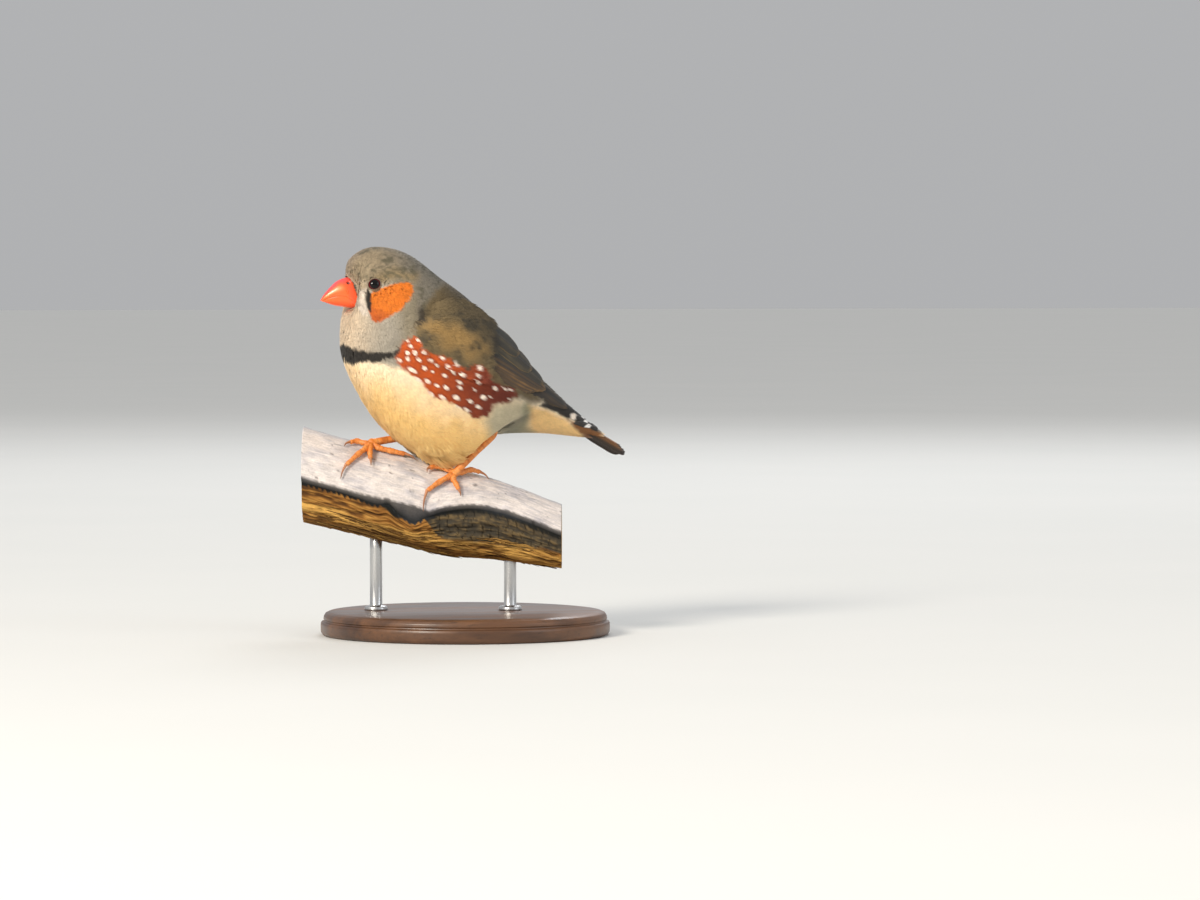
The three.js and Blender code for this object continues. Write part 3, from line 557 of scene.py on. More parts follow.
# Outlines in side view, across and up, for the left side. The right side mirrors it.
outlines = {
    "upper": [(-35.5, 108.5), (-33.4, 103.6), (-31.0, 102.8), (-25.5, 101.4), (-20.3, 102.4),
        (-14.0, 102.4), (-14.2, 99.5), (-14.0, 95.0), (-13.4, 90.2), (-13.9, 85.0), (-9.0, 80.0),
        (0.0, 75.5), (14.0, 69.5), (22.0, 68.0), (27.5, 68.1), (42.0, 60.0), (60.0, 60.0), (40.0, 120.0),
        (-40.0, 125.0)],
    "mantle": [(-5.0, 102.6), (-8.4, 98.0), (-12.4, 94.6), (-13.4, 90.2), (-13.9, 85.0), (-9.0, 79.5),
        (10.0, 68.0), (60.0, 40.0), (60.0, 110.0)],
    "wingGold": [(-10.5, 88.5), (-6.5, 91.0), (0.5, 89.5), (5.0, 85.5), (7.5, 81.5), (2.5, 81.0),
        (-4.5, 84.0)],
    "wingDark": [(8.2, 86.6), (10.6, 86.6), (12.4, 83.6), (10.4, 82.8)],
    "bendDark": [(-13.8, 95.0), (-11.0, 95.8), (-9.6, 92.5), (-12.0, 90.0), (-13.9, 90.6)],
    "cheek": [(-26.6, 98.9), (-22.9, 100.7), (-20.3, 101.6), (-17.5, 102.1), (-14.4, 101.9), (-14.2, 99.8),
        (-15.2, 97.0), (-17.7, 94.2), (-20.6, 92.4), (-24.2, 90.4), (-26.2, 91.4), (-27.0, 94.4)],
    "tear": [(-27.6, 100.2), (-26.5, 98.9), (-26.3, 96.3), (-26.5, 93.6), (-27.5, 95.0), (-27.9, 97.7)],
    "whitish": [(-30.2, 99.8), (-27.9, 100.4), (-28.1, 97.4), (-27.5, 95.1), (-27.1, 92.4), (-28.7, 92.6),
        (-30.4, 95.1), (-31.0, 97.1)],
    "lores": [(-34.6, 103.4), (-31.3, 103.7), (-28.3, 102.7), (-27.4, 100.3), (-30.2, 98.5), (-32.5, 99.5)],
    "brow": [(-25.0, 104.5), (-20.0, 106.5), (-13.0, 104.5), (-14.0, 102.6), (-20.0, 102.6),
        (-24.5, 101.6)],
    "billBase": [(-34.7, 103.6), (-33.7, 102.3), (-32.5, 99.0), (-31.1, 94.4), (-29.6, 94.6), (-30.7, 99.0),
        (-31.9, 102.1), (-33.4, 103.5)],
    "band": [(-42.0, 84.2), (-36.1, 83.9), (-33.4, 83.8), (-30.5, 82.9), (-27.6, 82.1), (-24.7, 81.9),
        (-21.8, 81.8), (-19.4, 82.3), (-18.0, 83.4), (-17.8, 82.4), (-20.0, 81.0), (-23.2, 79.7),
        (-26.1, 79.1), (-29.0, 78.7), (-31.9, 78.4), (-34.2, 79.1), (-35.4, 80.2), (-42.0, 80.6)],
    "flank": [(-13.7, 86.4), (-11.9, 85.7), (-10.9, 83.7), (-9.9, 82.2), (-8.0, 81.3), (-5.4, 81.4),
        (-3.5, 80.4), (-0.6, 78.6), (1.5, 77.4), (3.8, 78.8), (6.4, 78.4), (7.8, 76.0), (8.8, 73.4),
        (11.2, 72.6), (15.0, 71.6), (15.4, 69.3), (12.4, 67.7), (8.8, 67.0), (8.3, 65.7), (7.1, 63.8),
        (3.3, 63.3), (1.6, 64.5), (-2.0, 66.9), (-4.7, 68.3), (-8.3, 69.1), (-11.6, 73.0), (-14.0, 75.1),
        (-16.2, 77.0), (-17.4, 78.4), (-18.8, 79.6), (-18.6, 81.0), (-17.9, 82.8), (-16.7, 85.4)],
    "thigh": [(8.5, 67.0), (18.5, 68.0), (19.0, 64.5), (16.0, 56.0), (9.0, 56.0), (6.5, 62.0)],
    # the lower thigh, where painted shade darkens the feathers
    "thighShade": [(17.6, 67.0), (19.2, 66.0), (18.0, 60.5), (21.0, 58.8), (16.0, 56.0), (8.5, 57.0),
        (12.0, 60.0), (16.5, 61.5)],
    "undertail": [(18.8, 66.5), (23.8, 65.4), (29.3, 62.4), (34.6, 58.6), (42.0, 52.0), (20.0, 52.0),
        (19.2, 60.0)],
    "tailBlack": [(22.0, 66.5), (26.5, 70.0), (31.9, 66.0), (36.2, 63.5), (41.5, 59.0), (40.0, 58.1),
        (37.0, 59.4), (35.4, 60.6), (32.6, 61.6), (29.5, 63.0), (25.5, 65.2)],
    "tailBase": [(29.8, 62.6), (35.4, 60.6), (40.0, 58.3), (42.0, 54.0), (37.7, 54.6), (34.4, 57.6),
        (31.5, 60.4)],
}
edges = {  # how soft each outline's edge is, and how far coarse and fine lumps fray it
    "upper": (1.6, 0.7, 0.5), "mantle": (1.5, 0.9, 0.6), "wingGold": (3.0, 1.6, 0), "wingDark": (0.8, 0, 0.4),
    "bendDark": (1.2, 0.8, 1.4), "cheek": (0.3, 0, 0.25), "tear": (0.3, 0, 0.2), "whitish": (0.35, 0, 0.2),
    "lores": (0.9, 0, 0.3), "brow": (1.6, 0.8, 0), "billBase": (0.3, 0, 0.5), "band": (0.35, 0.3, 0.5),
    "flank": (0.5, 0.3, 0.6), "thigh": (2.5, 0.8, 0), "thighShade": (1.2, 0.6, 0), "undertail": (1.2, 0, 0.4),
    "tailBlack": (0.5, 0, 0.4), "tailBase": (0.6, 0, 0.3),
}
tailSpots = [(31.7, 63.2, 0.95, 1.0), (36.9, 61.2, 1.1, 1.5)]
spots = [  # across and up, radius, and how far each is drawn out along the feathers
    (-15.7, 85.4, 0.4, 1.3), (-12.5, 85.2, 0.4, 1.3), (-14.8, 83.9, 0.55, 1.2), (-15.7, 81.9, 0.62, 1.0),
    (-13.4, 81.9, 0.7, 1.0), (-10.8, 82.0, 0.55, 1.2), (-17.9, 79.8, 0.55, 1.2), (-15.6, 80.1, 0.55, 1.1),
    (-12.4, 79.9, 0.5, 1.5), (-8.9, 79.8, 0.6, 1.2), (-5.7, 80.5, 0.55, 1.3), (-1.8, 79.5, 0.5, 1.2),
    (-1.4, 78.6, 0.5, 1.4), (-7.3, 78.4, 0.4, 1.6), (-3.9, 77.9, 0.62, 1.2), (-10.8, 77.6, 0.55, 1.3),
    (-8.6, 76.6, 0.36, 1.3), (-2.6, 76.3, 0.5, 1.4), (0.3, 75.6, 0.7, 1.2), (-5.1, 75.4, 0.5, 1.5),
    (5.1, 77.7, 0.8, 1.1), (4.7, 75.3, 0.6, 1.3), (4.5, 73.5, 0.55, 1.2), (-14.3, 77.0, 0.55, 2.6),
    (-12.7, 74.3, 0.55, 2.2), (-9.9, 73.9, 0.55, 1.6), (-7.2, 72.6, 0.45, 1.5), (-4.7, 72.0, 0.6, 1.4),
    (-0.8, 73.4, 0.5, 1.6), (-0.8, 71.9, 0.5, 1.4), (3.5, 71.2, 0.36, 1.3), (-9.1, 70.2, 0.55, 2.2),
    (-5.8, 69.2, 0.6, 1.8), (-1.8, 69.1, 0.62, 1.6), (2.2, 68.0, 0.62, 1.2), (5.9, 69.1, 0.75, 1.1),
    (7.9, 69.2, 0.34, 1.4), (9.2, 71.7, 0.6, 1.2), (12.2, 71.4, 0.4, 1.6), (13.7, 71.2, 0.36, 1.4),
    (13.4, 68.5, 0.36, 1.6), (4.5, 66.4, 0.45, 1.8), (-1.4, 66.4, 0.4, 2.8), (1.2, 65.6, 0.42, 2.4),
]


def sidePlane(points):  # across and up in the photo's side view, both sides on one
    across = math.cos(turnOfView) * points[:, 0] - math.sin(turnOfView) * np.abs(points[:, 1])
    return np.stack([across, points[:, 2]], axis=1)


def patch(places, key, soft, ragged=0.0):  # 1 inside that outline and 0 outside
    return 1 - smooth(outlineDistance(places, outlines[key]) + ragged, -soft, soft)


def spotMask(places, centres, tilt):  # white spots drawn out along the feathers, and their dark rims
    c, s = math.cos(tilt), math.sin(tilt)
    nearest = np.full(len(places), 9.0)
    for across, up, radius, stretch in centres:
        x, z = places[:, 0] - across, places[:, 1] - up
        nearest = np.minimum(nearest, np.hypot((x * c + z * s) / stretch, z * c - x * s) / radius)
    return 1 - smooth(nearest, 0.8, 1.15), smooth(nearest, 1.0, 1.3) * (1 - smooth(nearest, 1.3, 2.0))


def markings(points):
    place = sidePlane(points)
    x, z = place.T
    coarse, fine, broad = noiseAt(points, 3.1), noiseAt(points + 40, 0.9), noiseAt(points + 70, 6.0)
    inside = {key: patch(place, key, soft, lumpy * coarse + fuzzy * fine)
              for key, (soft, lumpy, fuzzy) in edges.items()}
    colour = lay(marks["bellyLow"], marks["bellyTop"], smooth(z + 2 * coarse + 0.3 * x, 56, 76))
    # the lower thigh is laid over with painted shade
    for key, share in (("thigh", 1), ("undertail", 1), ("thighShade", 0.7)):
        colour = lay(colour, marks[key], share * inside[key])
    throat = smooth(z + 0.25 * (x + 30) + 0.5 * fine, 79.5, 81.5) * (1 - smooth(x + 0.4 * fine, -13.2, -11.6))
    colour = lay(colour, throatTone(x, z, coarse), throat)
    colour = lay(colour, headTone(x, z, coarse, fine, broad, inside), inside["upper"])
    colour = lay(colour, backTone(x, z, coarse, fine, broad, inside), inside["mantle"] * inside["upper"])
    colour = lay(colour, marks["lores"], 0.85 * inside["lores"])
    red = lay(marks["chestnut"], marks["chestnutDark"], smooth(x - 0.4 * z + 3 * coarse, -40, -17))
    white, rims = spotMask(place + column(0.1 * fine), spots, math.radians(-30))
    colour = lay(colour, lay(red, marks["chestnutDark"] * 0.7, 0.45 * rims), inside["flank"])
    colour = lay(colour, marks["spot"], white * patch(place, "flank", 1.0))
    colour = lay(colour, marks["black"], inside["band"])
    colour = lay(colour, marks["whitish"], inside["whitish"])
    low = smooth(z + fine + 0.4 * (x + 26), 97, 92)
    cheek = lay(marks["cheek"] * (1 + 0.08 * column(fine)), marks["cheekLow"], low)
    colour = lay(colour, cheek, inside["cheek"])
    colour = lay(colour, marks["black"], inside["tear"])
    fromBill = np.hypot(points[:, 1] / 3.7, (z - 99.4) / 4.6)
    beads = 0.95 * inside["billBase"] * (1 - smooth(fromBill + 0.1 * fine, 1.45, 1.65))
    colour = lay(colour, marks["black"], beads)
    colour = lay(colour, marks["tailBase"], inside["tailBase"])
    colour = lay(colour, marks["black"], inside["tailBlack"])
    return lay(colour, marks["spot"], spotMask(place, tailSpots, math.radians(-30))[0])


def throatTone(x, z, coarse):  # from the pale throat to the grey sides and rear of the neck
    colour = lay(marks["throat"], marks["neckSide"], smooth(x + 1.6 * coarse, -34, -23))
    colour = lay(colour, marks["neckLow"], smooth(x - 0.6 * z + 2.5 * coarse, -76, -68))
    return lay(colour, marks["neckRear"], 0.85 * smooth(x + 0.12 * (z - 90) + 1.2 * coarse, -20.5, -16))


def headTone(x, z, coarse, fine, broad, inside):  # the grey crown and nape with their dark flecks
    colour = lay(marks["crown"], marks["nape"], smooth(x + 0.35 * (z - 100) + coarse, -22, -10))
    colour = lay(colour, marks["forehead"], 0.7 * smooth(z - 1.4 * x + 2 * coarse, 148, 156))
    colour = lay(colour, marks["brow"], inside["brow"])
    return lay(colour, marks["crownDark"], 0.75 * smooth(0.7 * coarse + 0.8 * fine + 0.2 * broad, -0.2, 0.75))


def backTone(x, z, coarse, fine, broad, inside):  # the back, and the small feathers of the wing's bend
    colour = lay(marks["back"], marks["wingGold"], 0.85 * inside["wingGold"])
    ridge = 0.6 * smooth(z + 1.05 * x + coarse, 87, 96) * smooth(x, -10, 0) + 0.3 * smooth(x, 4, 16)
    dark = 0.8 * smooth(coarse + 0.7 * fine + 0.5 * broad, 0.05, 1.2) + ridge
    colour = lay(colour, marks["backDark"], dark)
    for key in ("bendDark", "wingDark"):
        colour = lay(colour, marks["black"], 0.85 * inside[key])
    return colour


# The eyes' places

eyes = {"place": (-29.0, 101.8), "ball": 2.1, "opening": 1.66,  # radii of the ball and of what is seen of it
        "pupil": tone(8, 6, 6), "iris": tone(104, 16, 18)}


def eyeSeat():  # where the left eye looks out of the head, and which way
    x, z = eyes["place"]
    near = np.array([(x, z), (x + 1, z), (x, z + 1)])
    side = sideOfBody(near[:, 0], near[:, 1])
    points = np.stack([near[:, 0], -side, near[:, 1]], axis=1)
    normal = unit(np.cross(points[2] - points[0], points[1] - points[0]))
    return points[0], normal if normal[1] < 0 else -normal


eyePoint, eyeWay = eyeSeat()


# Skin and coat

coat = {
    # by rib, how deep the skin lies under the coat and how long its feathers are
    "depth": [(0, 0.3), (1, 0.35), (2, 0.45), (4, 0.6), (6, 0.8), (8, 1.0), (10, 1.2), (11.5, 0.9),
              (13, 0.4)],
    "length": [(0, 0.8), (1, 1.2), (2, 1.7), (4, 2.3), (6, 3.0), (8, 3.7), (10, 4.4), (11.5, 4.4),
               (13, 4.0)],
    "eyeClear": 1.72,  # no feather grows nearer to an eye than this
    "patchSize": 0.003,  # of a tuft on the baking map
    "blade": 0.035,  # thickness of one barb
    "spread": (0.12, 0.38, 0.5),  # of a tuft's barbs to each side, at root, middle and tip, in its widths
    "stagger": 0.25, "roundTip": 0.28, "ragged": 0.16,  # of where the barbs start and end, in its lengths
}


def byRib(key, rib):
    return np.interp(rib, *zip(*coat[key]))


def underWing(points):  # distance to the wing's outline in side view, below zero under the wing
    return outlineDistance(points[:, [0, 2]], wingOutline())


def billHollow(rib, angle):  # how far the face draws in beside the lower bill
    return 1.2 * (1 - smooth(rib, 0.5, 2.1)) * bell(np.cos(angle), -0.66, 0.28)


def skinDepth(rib, angle):
    outer = bodyPoint(rib, angle)
    covered = 1 - smooth(underWing(outer), -1.6, -0.2)
    sides = smooth(np.abs(np.sin(angle)), 0.25, 0.5)
    deep = np.interp(outer[:, 0], [-21, -8, 29], [3.3, 2.1, 1.5])
    depth = byRib("depth", rib)
    return depth + covered * sides * np.maximum(deep - depth, 0) + billHollow(rib, angle)


def coatPoint(rib, angle, grow):  # the body's surface, carried on straight past its first and last ribs
    last = np.full(len(rib), float(lastRib))
    ahead = (bodyPoint(last, angle, grow) - bodyPoint(last - 0.01, angle, grow)) * 100
    overBill = column(np.minimum(rib, 0)) * (2.0, 0, 0)
    return bodyPoint(rib, angle, grow) + ahead * column(np.maximum(rib - lastRib, 0)) + overBill


def wingCover(u, v, grow):  # the same for tufts, which may start before the bend
    return wingPoint(np.clip(u, 0, 1), v, grow)


def buildSkin():  # one skin over head, neck, trunk and rump, under the coat
    count, columns = 150, 128
    rib, angle = np.linspace(0, lastRib, count), anglesRound(columns)
    ribGrid, angleGrid = gridPairs(rib, angle)
    points = bodyPoint(ribGrid, angleGrid, -skinDepth(ribGrid, angleGrid))
    points, faces = closedTube(points.reshape(count, columns, 3))
    # the skin shows the markings, darkened a little as painted shade under the coat
    tint = markings(points) * 0.92
    across = np.append(angleGrid / (2 * math.pi), [0.5, 0.5])
    up = np.append(ribGrid / lastRib, [0, 1])
    bake = np.stack([0.01 + 0.97 * across, 0.01 + 0.98 * up], axis=1)
    buildPiece("skin", points, faces, {"marking": tint}, {"OFBake": bake}, plumage, "plumage",
               "head", "neck", "torso", "rump")


def tuftPlaces(piece, chart, draw):  # staggered rows of places over a stretch of a surface
    (first, last), (low, high), spacing = piece["along"], piece["around"], piece["spacing"]
    rowTable, ringTable = np.linspace(first, last, 300), np.linspace(low, high, 160)
    a, b = gridPairs(rowTable, np.linspace(low, high, 40))
    table = chart(a, b, 0 * a).reshape(300, 40, 3)
    reached = np.append(0, np.cumsum(np.linalg.norm(np.diff(table, axis=0), axis=2).max(axis=1)))
    rows = np.interp(np.arange(0, reached[-1], spacing), reached, rowTable)
    steps = np.gradient(rows)
    along, around = [], []
    for row, place in enumerate(rows):
        ring = chart(np.full(160, place), ringTable, np.zeros(160))
        travel = np.append(0, np.cumsum(np.linalg.norm(np.diff(ring, axis=0), axis=1)))
        count = max(int(travel[-1] / spacing), 1)
        shares = (np.arange(count) + 0.25 + 0.5 * (row % 2) + 0.5 * (draw.random(count) - 0.5)) / count
        around.append(np.interp(shares * travel[-1], travel, ringTable))
        along.append(place + (draw.random(count) - 0.5) * 0.6 * steps[row])
    along, around = np.concatenate(along), np.concatenate(around)
    travel = chart(along + 0.02, around, 0 * along) - chart(along - 0.02, around, 0 * along)
    gap = np.linalg.norm(travel, axis=1) / 0.04 * np.interp(along, rows, steps)
    keep = draw.random(len(along)) < np.clip(gap / spacing, 0.1, 1)  # fewer where the rows crowd
    return np.clip(along[keep], first + 0.02, last), around[keep]


def bladeMesh(root, middle, tip, up, halfWidth, thickness):  # slim closed blades, widest at their middle
    way = unit(tip - root)
    side = unit(np.cross(up, way))
    reach = side * column(halfWidth)
    points = np.stack([root, middle - reach, middle + up * thickness, middle + reach, tip], axis=1)
    faces = np.array([(0, 1, 2), (0, 2, 3), (0, 3, 1), (4, 2, 1), (4, 3, 2), (4, 1, 3)])
    normals = unit(np.stack([up, up - 0.4 * side, up, up + 0.4 * side, up + 0.25 * way], axis=1))
    normals = normals[:, faces] * np.array([1, 1, -1, 1, 1, -1])[:, None, None]  # two faces look down
    return points.reshape(-1, 3), (np.arange(len(root))[:, None, None] * 5 + faces).reshape(-1, 3), normals


# chart gives a place from a place along, a place around and a height over the surface. lie is how far the
# feathers lie along and around, and heights are those of their roots, middles and tips.
def growTufts(name, piece, chart, places, lie, heights, length, draw, tones=markings):
    along, around = places
    count, barbs = len(along), piece["barbs"]
    flat = np.zeros(count)
    step = 0.01
    forward = (chart(along + step, around, flat) - chart(along - step, around, flat)) / (2 * step)
    sideways = (chart(along, around + step, flat) - chart(along, around - step, flat)) / (2 * step)
    scales = [np.linalg.norm(way, axis=1)[:, None] for way in (forward, sideways)]
    home = chart(along, around, flat)
    up = unit(np.cross(forward, sideways))
    up = np.where(column(dot(up, chart(along, around, flat + 1) - home)) < 0, -up, up)
    ahead, aside = (part / np.hypot(*lie) for part in lie)
    width = length * piece["width"]
    swing = np.linspace(-1, 1, barbs)[None, :] + (draw.random((count, barbs)) - 0.5) * 0.7 / barbs
    random = draw.random((4, count, barbs))

    def place(reach, spread, grow):
        reach, spread = column(length) * reach, column(width) * spread
        a = along[:, None] + (ahead[:, None] * reach - aside[:, None] * spread) / scales[0]
        b = around[:, None] + (aside[:, None] * reach + ahead[:, None] * spread) / scales[1]
        return chart(a.ravel(), b.ravel(), np.broadcast_to(grow, a.shape).ravel())

    rootHeight, middleHeight, tipHeight = (column(h) for h in heights)
    start = coat["stagger"] * (1 - swing**2) * random[0]
    reach = 1 - coat["roundTip"] * swing**2 + coat["ragged"] * (random[1] - 0.5)
    atRoot, atMiddle, atTip = (swing * share for share in coat["spread"])
    root = place(start, atRoot, rootHeight)
    middle = place(blendOf(start, reach, 0.55), atMiddle, middleHeight + 0.1 * random[2])
    tip = place(reach, atTip, tipHeight + 0.2 * (random[2] - 0.4))
    halfWidth = np.repeat(width, barbs) * 0.85 / barbs
    up = np.repeat(up, barbs, axis=0)
    points, faces, normals = bladeMesh(root, middle, tip, up, halfWidth, coat["blade"])
    tipTone, middleTone = tones(tip), tones(blendOf(middle, tip, 0.6))
    vary = 1 + piece.get("vary", 0.16) * (draw.random((count, 1)) - 0.5) + 0.1 * (random[3] - 0.5)
    vary = column(vary.ravel())
    # feather roots are grey, and darkened further as painted shade deep in the coat
    rootGreyAndShade = blendOf(middleTone * 0.85, marks["grey"], 0.12)
    painted = np.stack([rootGreyAndShade * vary, middleTone * vary, middleTone * vary * 1.04, middleTone * vary,
                        tipTone * vary * 1.05], axis=1)
    (first, last), (low, high), size = piece["along"], piece["around"], coat["patchSize"]
    patchHome = np.stack([(around - low) / (high - low), (along - first) / (last - first)], axis=1)
    patchHome = np.repeat(0.004 + (0.992 - size) * patchHome, barbs, axis=0)
    over = ((swing + 1) / 2).ravel() * size * 0.8
    slim = size * 0.1
    corners = ((slim, 0), (0, size / 2), (slim, size / 2), (2 * slim, size / 2), (slim, size))
    bake = [patchHome + np.stack([over + dx, np.full(len(over), dy)], axis=1) for dx, dy in corners]
    bake = np.stack(bake, axis=1).reshape(-1, 2)
    mesh = buildPiece(name, points, faces, {"marking": painted.reshape(-1, 3)}, {"OFBake": bake}, plumage,
                      "plumage")
    mesh.normals_split_custom_set(normals.reshape(-1, 3).tolist())  # the coat is lit as one soft surface
    print(name, count, "tufts", len(faces), "triangles")


def growBodyCoat(name, piece):
    draw = np.random.default_rng(piece["seed"])
    along, around = tuftPlaces(piece, coatPoint, draw)
    outer = bodyPoint(along, around)
    onSide = np.abs(np.sin(around)) > 0.3  # no wing lies over the middle of the back or the belly
    wingEdge = np.where(onSide, underWing(outer), 9.0)
    fromEye = np.minimum(*(np.linalg.norm(outer - eyePoint * (1, side, 1), axis=1) for side in (1, -1)))
    overWing = piece["overWing"] + 0.5 * noiseAt(outer, 1.5)
    if piece.get("followFlank"):
        overWing = np.where(patch(sidePlane(outer), "flank", 0.3) > 0.5, 6.0, overWing)
    keep = (wingEdge > -overWing) & (fromEye > coat["eyeClear"])
    along, around, outer, wingEdge, fromEye = (a[keep] for a in (along, around, outer, wingEdge, fromEye))
    step = 0.01
    forward = unit(coatPoint(along + step, around, 0 * along) - coatPoint(along - step, around, 0 * along))
    sideways = unit(coatPoint(along, around + step, 0 * along) - coatPoint(along, around - step, 0 * along))
    lieForward, lieAround = np.ones(len(along)), np.zeros(len(along))
    for side in (1, -1):  # the coat parts round the eyes
        away = outer - eyePoint * (1, side, 1)
        near = 1.6 * bell(np.linalg.norm(away, axis=1), 2.0, 1.0)
        away = unit(away)
        lieForward += near * dot(away, forward)
        lieAround += near * dot(away, sideways)
    lieAround += piece["turn"] * np.sign(np.sin(around)) + 0.12 * noiseAt(outer, 2.5)
    sink = billHollow(along, around)
    depth = skinDepth(along, around) - sink
    onWing = 1 - smooth(wingEdge, -1.2, 0.4)
    depth = blendOf(depth, 0.1, onWing)
    length = byRib("length", along) * (0.85 + 0.3 * draw.random(len(along)))
    length = length * (0.5 + 0.5 * smooth(fromEye, 2.0, 5.0))
    clump = piece["clump"] * np.clip(noiseAt(outer + 9, 1.7), 0, 1)
    low = smooth(-np.cos(around), 0.55, 0.9) * smooth(along, 8.6, 9.8) * (1 - smooth(along, 10.2, 10.8))
    fringe = low * np.clip(noiseAt(outer + 21, 2.2) + 0.35, 0, 1)  # loose tips between the legs
    length = length * (1 + fringe)
    clump = clump + 2.6 * fringe
    lift = piece["lift"] * bell(np.maximum(wingEdge, 0), 0, 2.2) + clump
    heights = -depth - 0.1 - sink, -0.45 * depth + 0.6 * lift - sink, -0.12 * depth + lift - sink
    byEye = 1 - smooth(fromEye, 2.2, 3.2)  # over the lids' rim
    heights = [blendOf(height, near, byEye) for height, near in zip(heights, (-0.14, 0.02, 0.0))]
    growTufts(name, piece, coatPoint, (along, around), (lieForward, lieAround), heights, length, draw)


halfTurn = math.pi
evenCoat = {"around": (0, 2 * halfTurn), "width": 0.5, "overWing": 0, "lift": 0, "turn": 0, "clump": 0.1}
trunkCoat = dict(evenCoat, along=(6.9, 11.4), barbs=9)
flankCoat = dict(trunkCoat, spacing=0.56, barbs=8, width=0.42, overWing=0.8, followFlank=True, lift=1.0,
                 turn=-0.2)
bodyCoat = {  # along is by rib and around by angle; overWing is how far a piece lies over the wing
    "coatHead": dict(evenCoat, along=(0.05, 4.4), spacing=0.52, barbs=6, seed=1, clump=0.0, vary=0.3),
    "coatNeck": dict(evenCoat, along=(4.4, 6.9), spacing=0.69, barbs=8, seed=2, overWing=3.6, lift=-0.3),
    "coatBack": dict(trunkCoat, around=(-0.4 * halfTurn, 0.4 * halfTurn), spacing=0.72, seed=3, overWing=1.6,
                     lift=0.7, turn=0.12),
    "coatFlankLeft": dict(flankCoat, around=(1.26 * halfTurn, 1.66 * halfTurn), seed=4),
    "coatFlankRight": dict(flankCoat, around=(0.34 * halfTurn, 0.74 * halfTurn), seed=5),
    "coatBelly": dict(trunkCoat, around=(0.74 * halfTurn, 1.26 * halfTurn), spacing=0.7, seed=6, clump=0.35),
    "coatRump": dict(evenCoat, along=(11.4, 13.0), spacing=0.7, barbs=9, width=0.45, seed=7, overWing=0.5,
                     lift=0.2),
}

billEdge = {"along": (0.3, 0.85), "around": (0, 2 * halfTurn), "spacing": 0.34, "barbs": 5, "width": 0.6,
            "seed": 8, "vary": 0.3, "over": 0.25, "lores": 0.8}  # over the bill, and more at its sides


def growBillEdge():  # short feathers round the bill that lie forward over its root
    draw = np.random.default_rng(billEdge["seed"])
    along, around = tuftPlaces(billEdge, coatPoint, draw)
    home = bodyPoint(along, around)
    toBill = np.linalg.norm(home - bodyPoint(0 * along, around), axis=1)
    over = billEdge["over"] + billEdge["lores"] * bell(np.cos(around), 0.15, 0.4)
    length = toBill + over * (0.6 + 0.6 * draw.random(len(along)))
    sink = billHollow(along, around)
    lie = -np.ones(len(along)), 0.1 * noiseAt(home, 2.5)
    heights = -0.35 - sink, -0.1 - sink, -0.02 - sink
    growTufts("coatBillEdge", billEdge, coatPoint, (along, around), lie, heights, length, draw)


plumage = makeFinish("plumageSoft")[0]
buildSkin()
print("skin built")
for pieceName, pieceSettings in bodyCoat.items():
    growBodyCoat(pieceName, pieceSettings)
growBillEdge()


# Feather vanes

def vaneParts(place, vane, draw, cell, cells):  # one feather as a closed plate with a ridged shaft
    rows, columns = 30, 11
    w, s = np.linspace(0, 1, rows)[:, None], np.linspace(-1, 1, columns)[None, :]
    toTip = np.clip((w - vane["tipFrom"]) / (1 - vane["tipFrom"]), 0, 1) ** vane["tipShape"]
    half = vane["width"] / 2 * blendOf(0.55, 1, smooth(w, 0, 0.45)) * np.sqrt(np.clip(1 - toTip, 0.004, 1))
    fray = 1 + vane["fray"] * (draw.random((rows, columns)) - 0.6) * np.abs(s) ** 3 * smooth(w, 0.2, 0.4)
    aside = half * s * fray
    thick = vane["thick"] * (1 - 0.6 * s**2) * (1 - 0.4 * w)
    shaft = 0.12 * bell(s, 0, 0.09) * (1 - 0.8 * w)
    bow = vane["camber"] * (1 - s**2) * np.ones_like(w)
    flatW, flatAside = (w + 0 * s).ravel(), aside.ravel()
    top = place(flatW, flatAside, (bow + thick / 2 + shaft).ravel()).reshape(rows, columns, 3)
    bottom = place(flatW, flatAside, (bow - thick / 2).ravel()).reshape(rows, columns, 3)
    points, faces = slab(top, bottom)
    tint = vane["tones"](flatW, (s + 0 * w).ravel(), draw.random()) * (0.9 + 0.2 * draw.random())
    edging = np.ones((rows * columns, 3)) * vane["edging"]
    across = np.stack([((s + 1) / 2 + 0 * w).ravel(), flatW], axis=1)
    bake = [gridMap(rows, columns, cell * 2 + k, cells * 2) for k in (0, 1)]
    return (points, faces, {"marking": np.vstack([tint, tint]), "edging": np.vstack([edging, edging])},
            {"featherMap": np.vstack([across, across]), "OFBake": np.vstack(bake)})


def streakTone(base, tip, streak, share):  # dark vanes with warm streaks, warmest on their outer half
    def tones(w, s, chance):
        wave = smooth(np.sin(5.2 * s + 6 * chance + 0.8 * np.sin(5 * w)), 0.1, 0.9)
        wave = wave * (0.75 + 0.25 * np.sin(40 * w))
        plain = lay(base, tip, smooth(w, 0.3, 1.0))
        return lay(plain, streak, share * wave + 0.35 * share * (s > 0.2))
    return tones


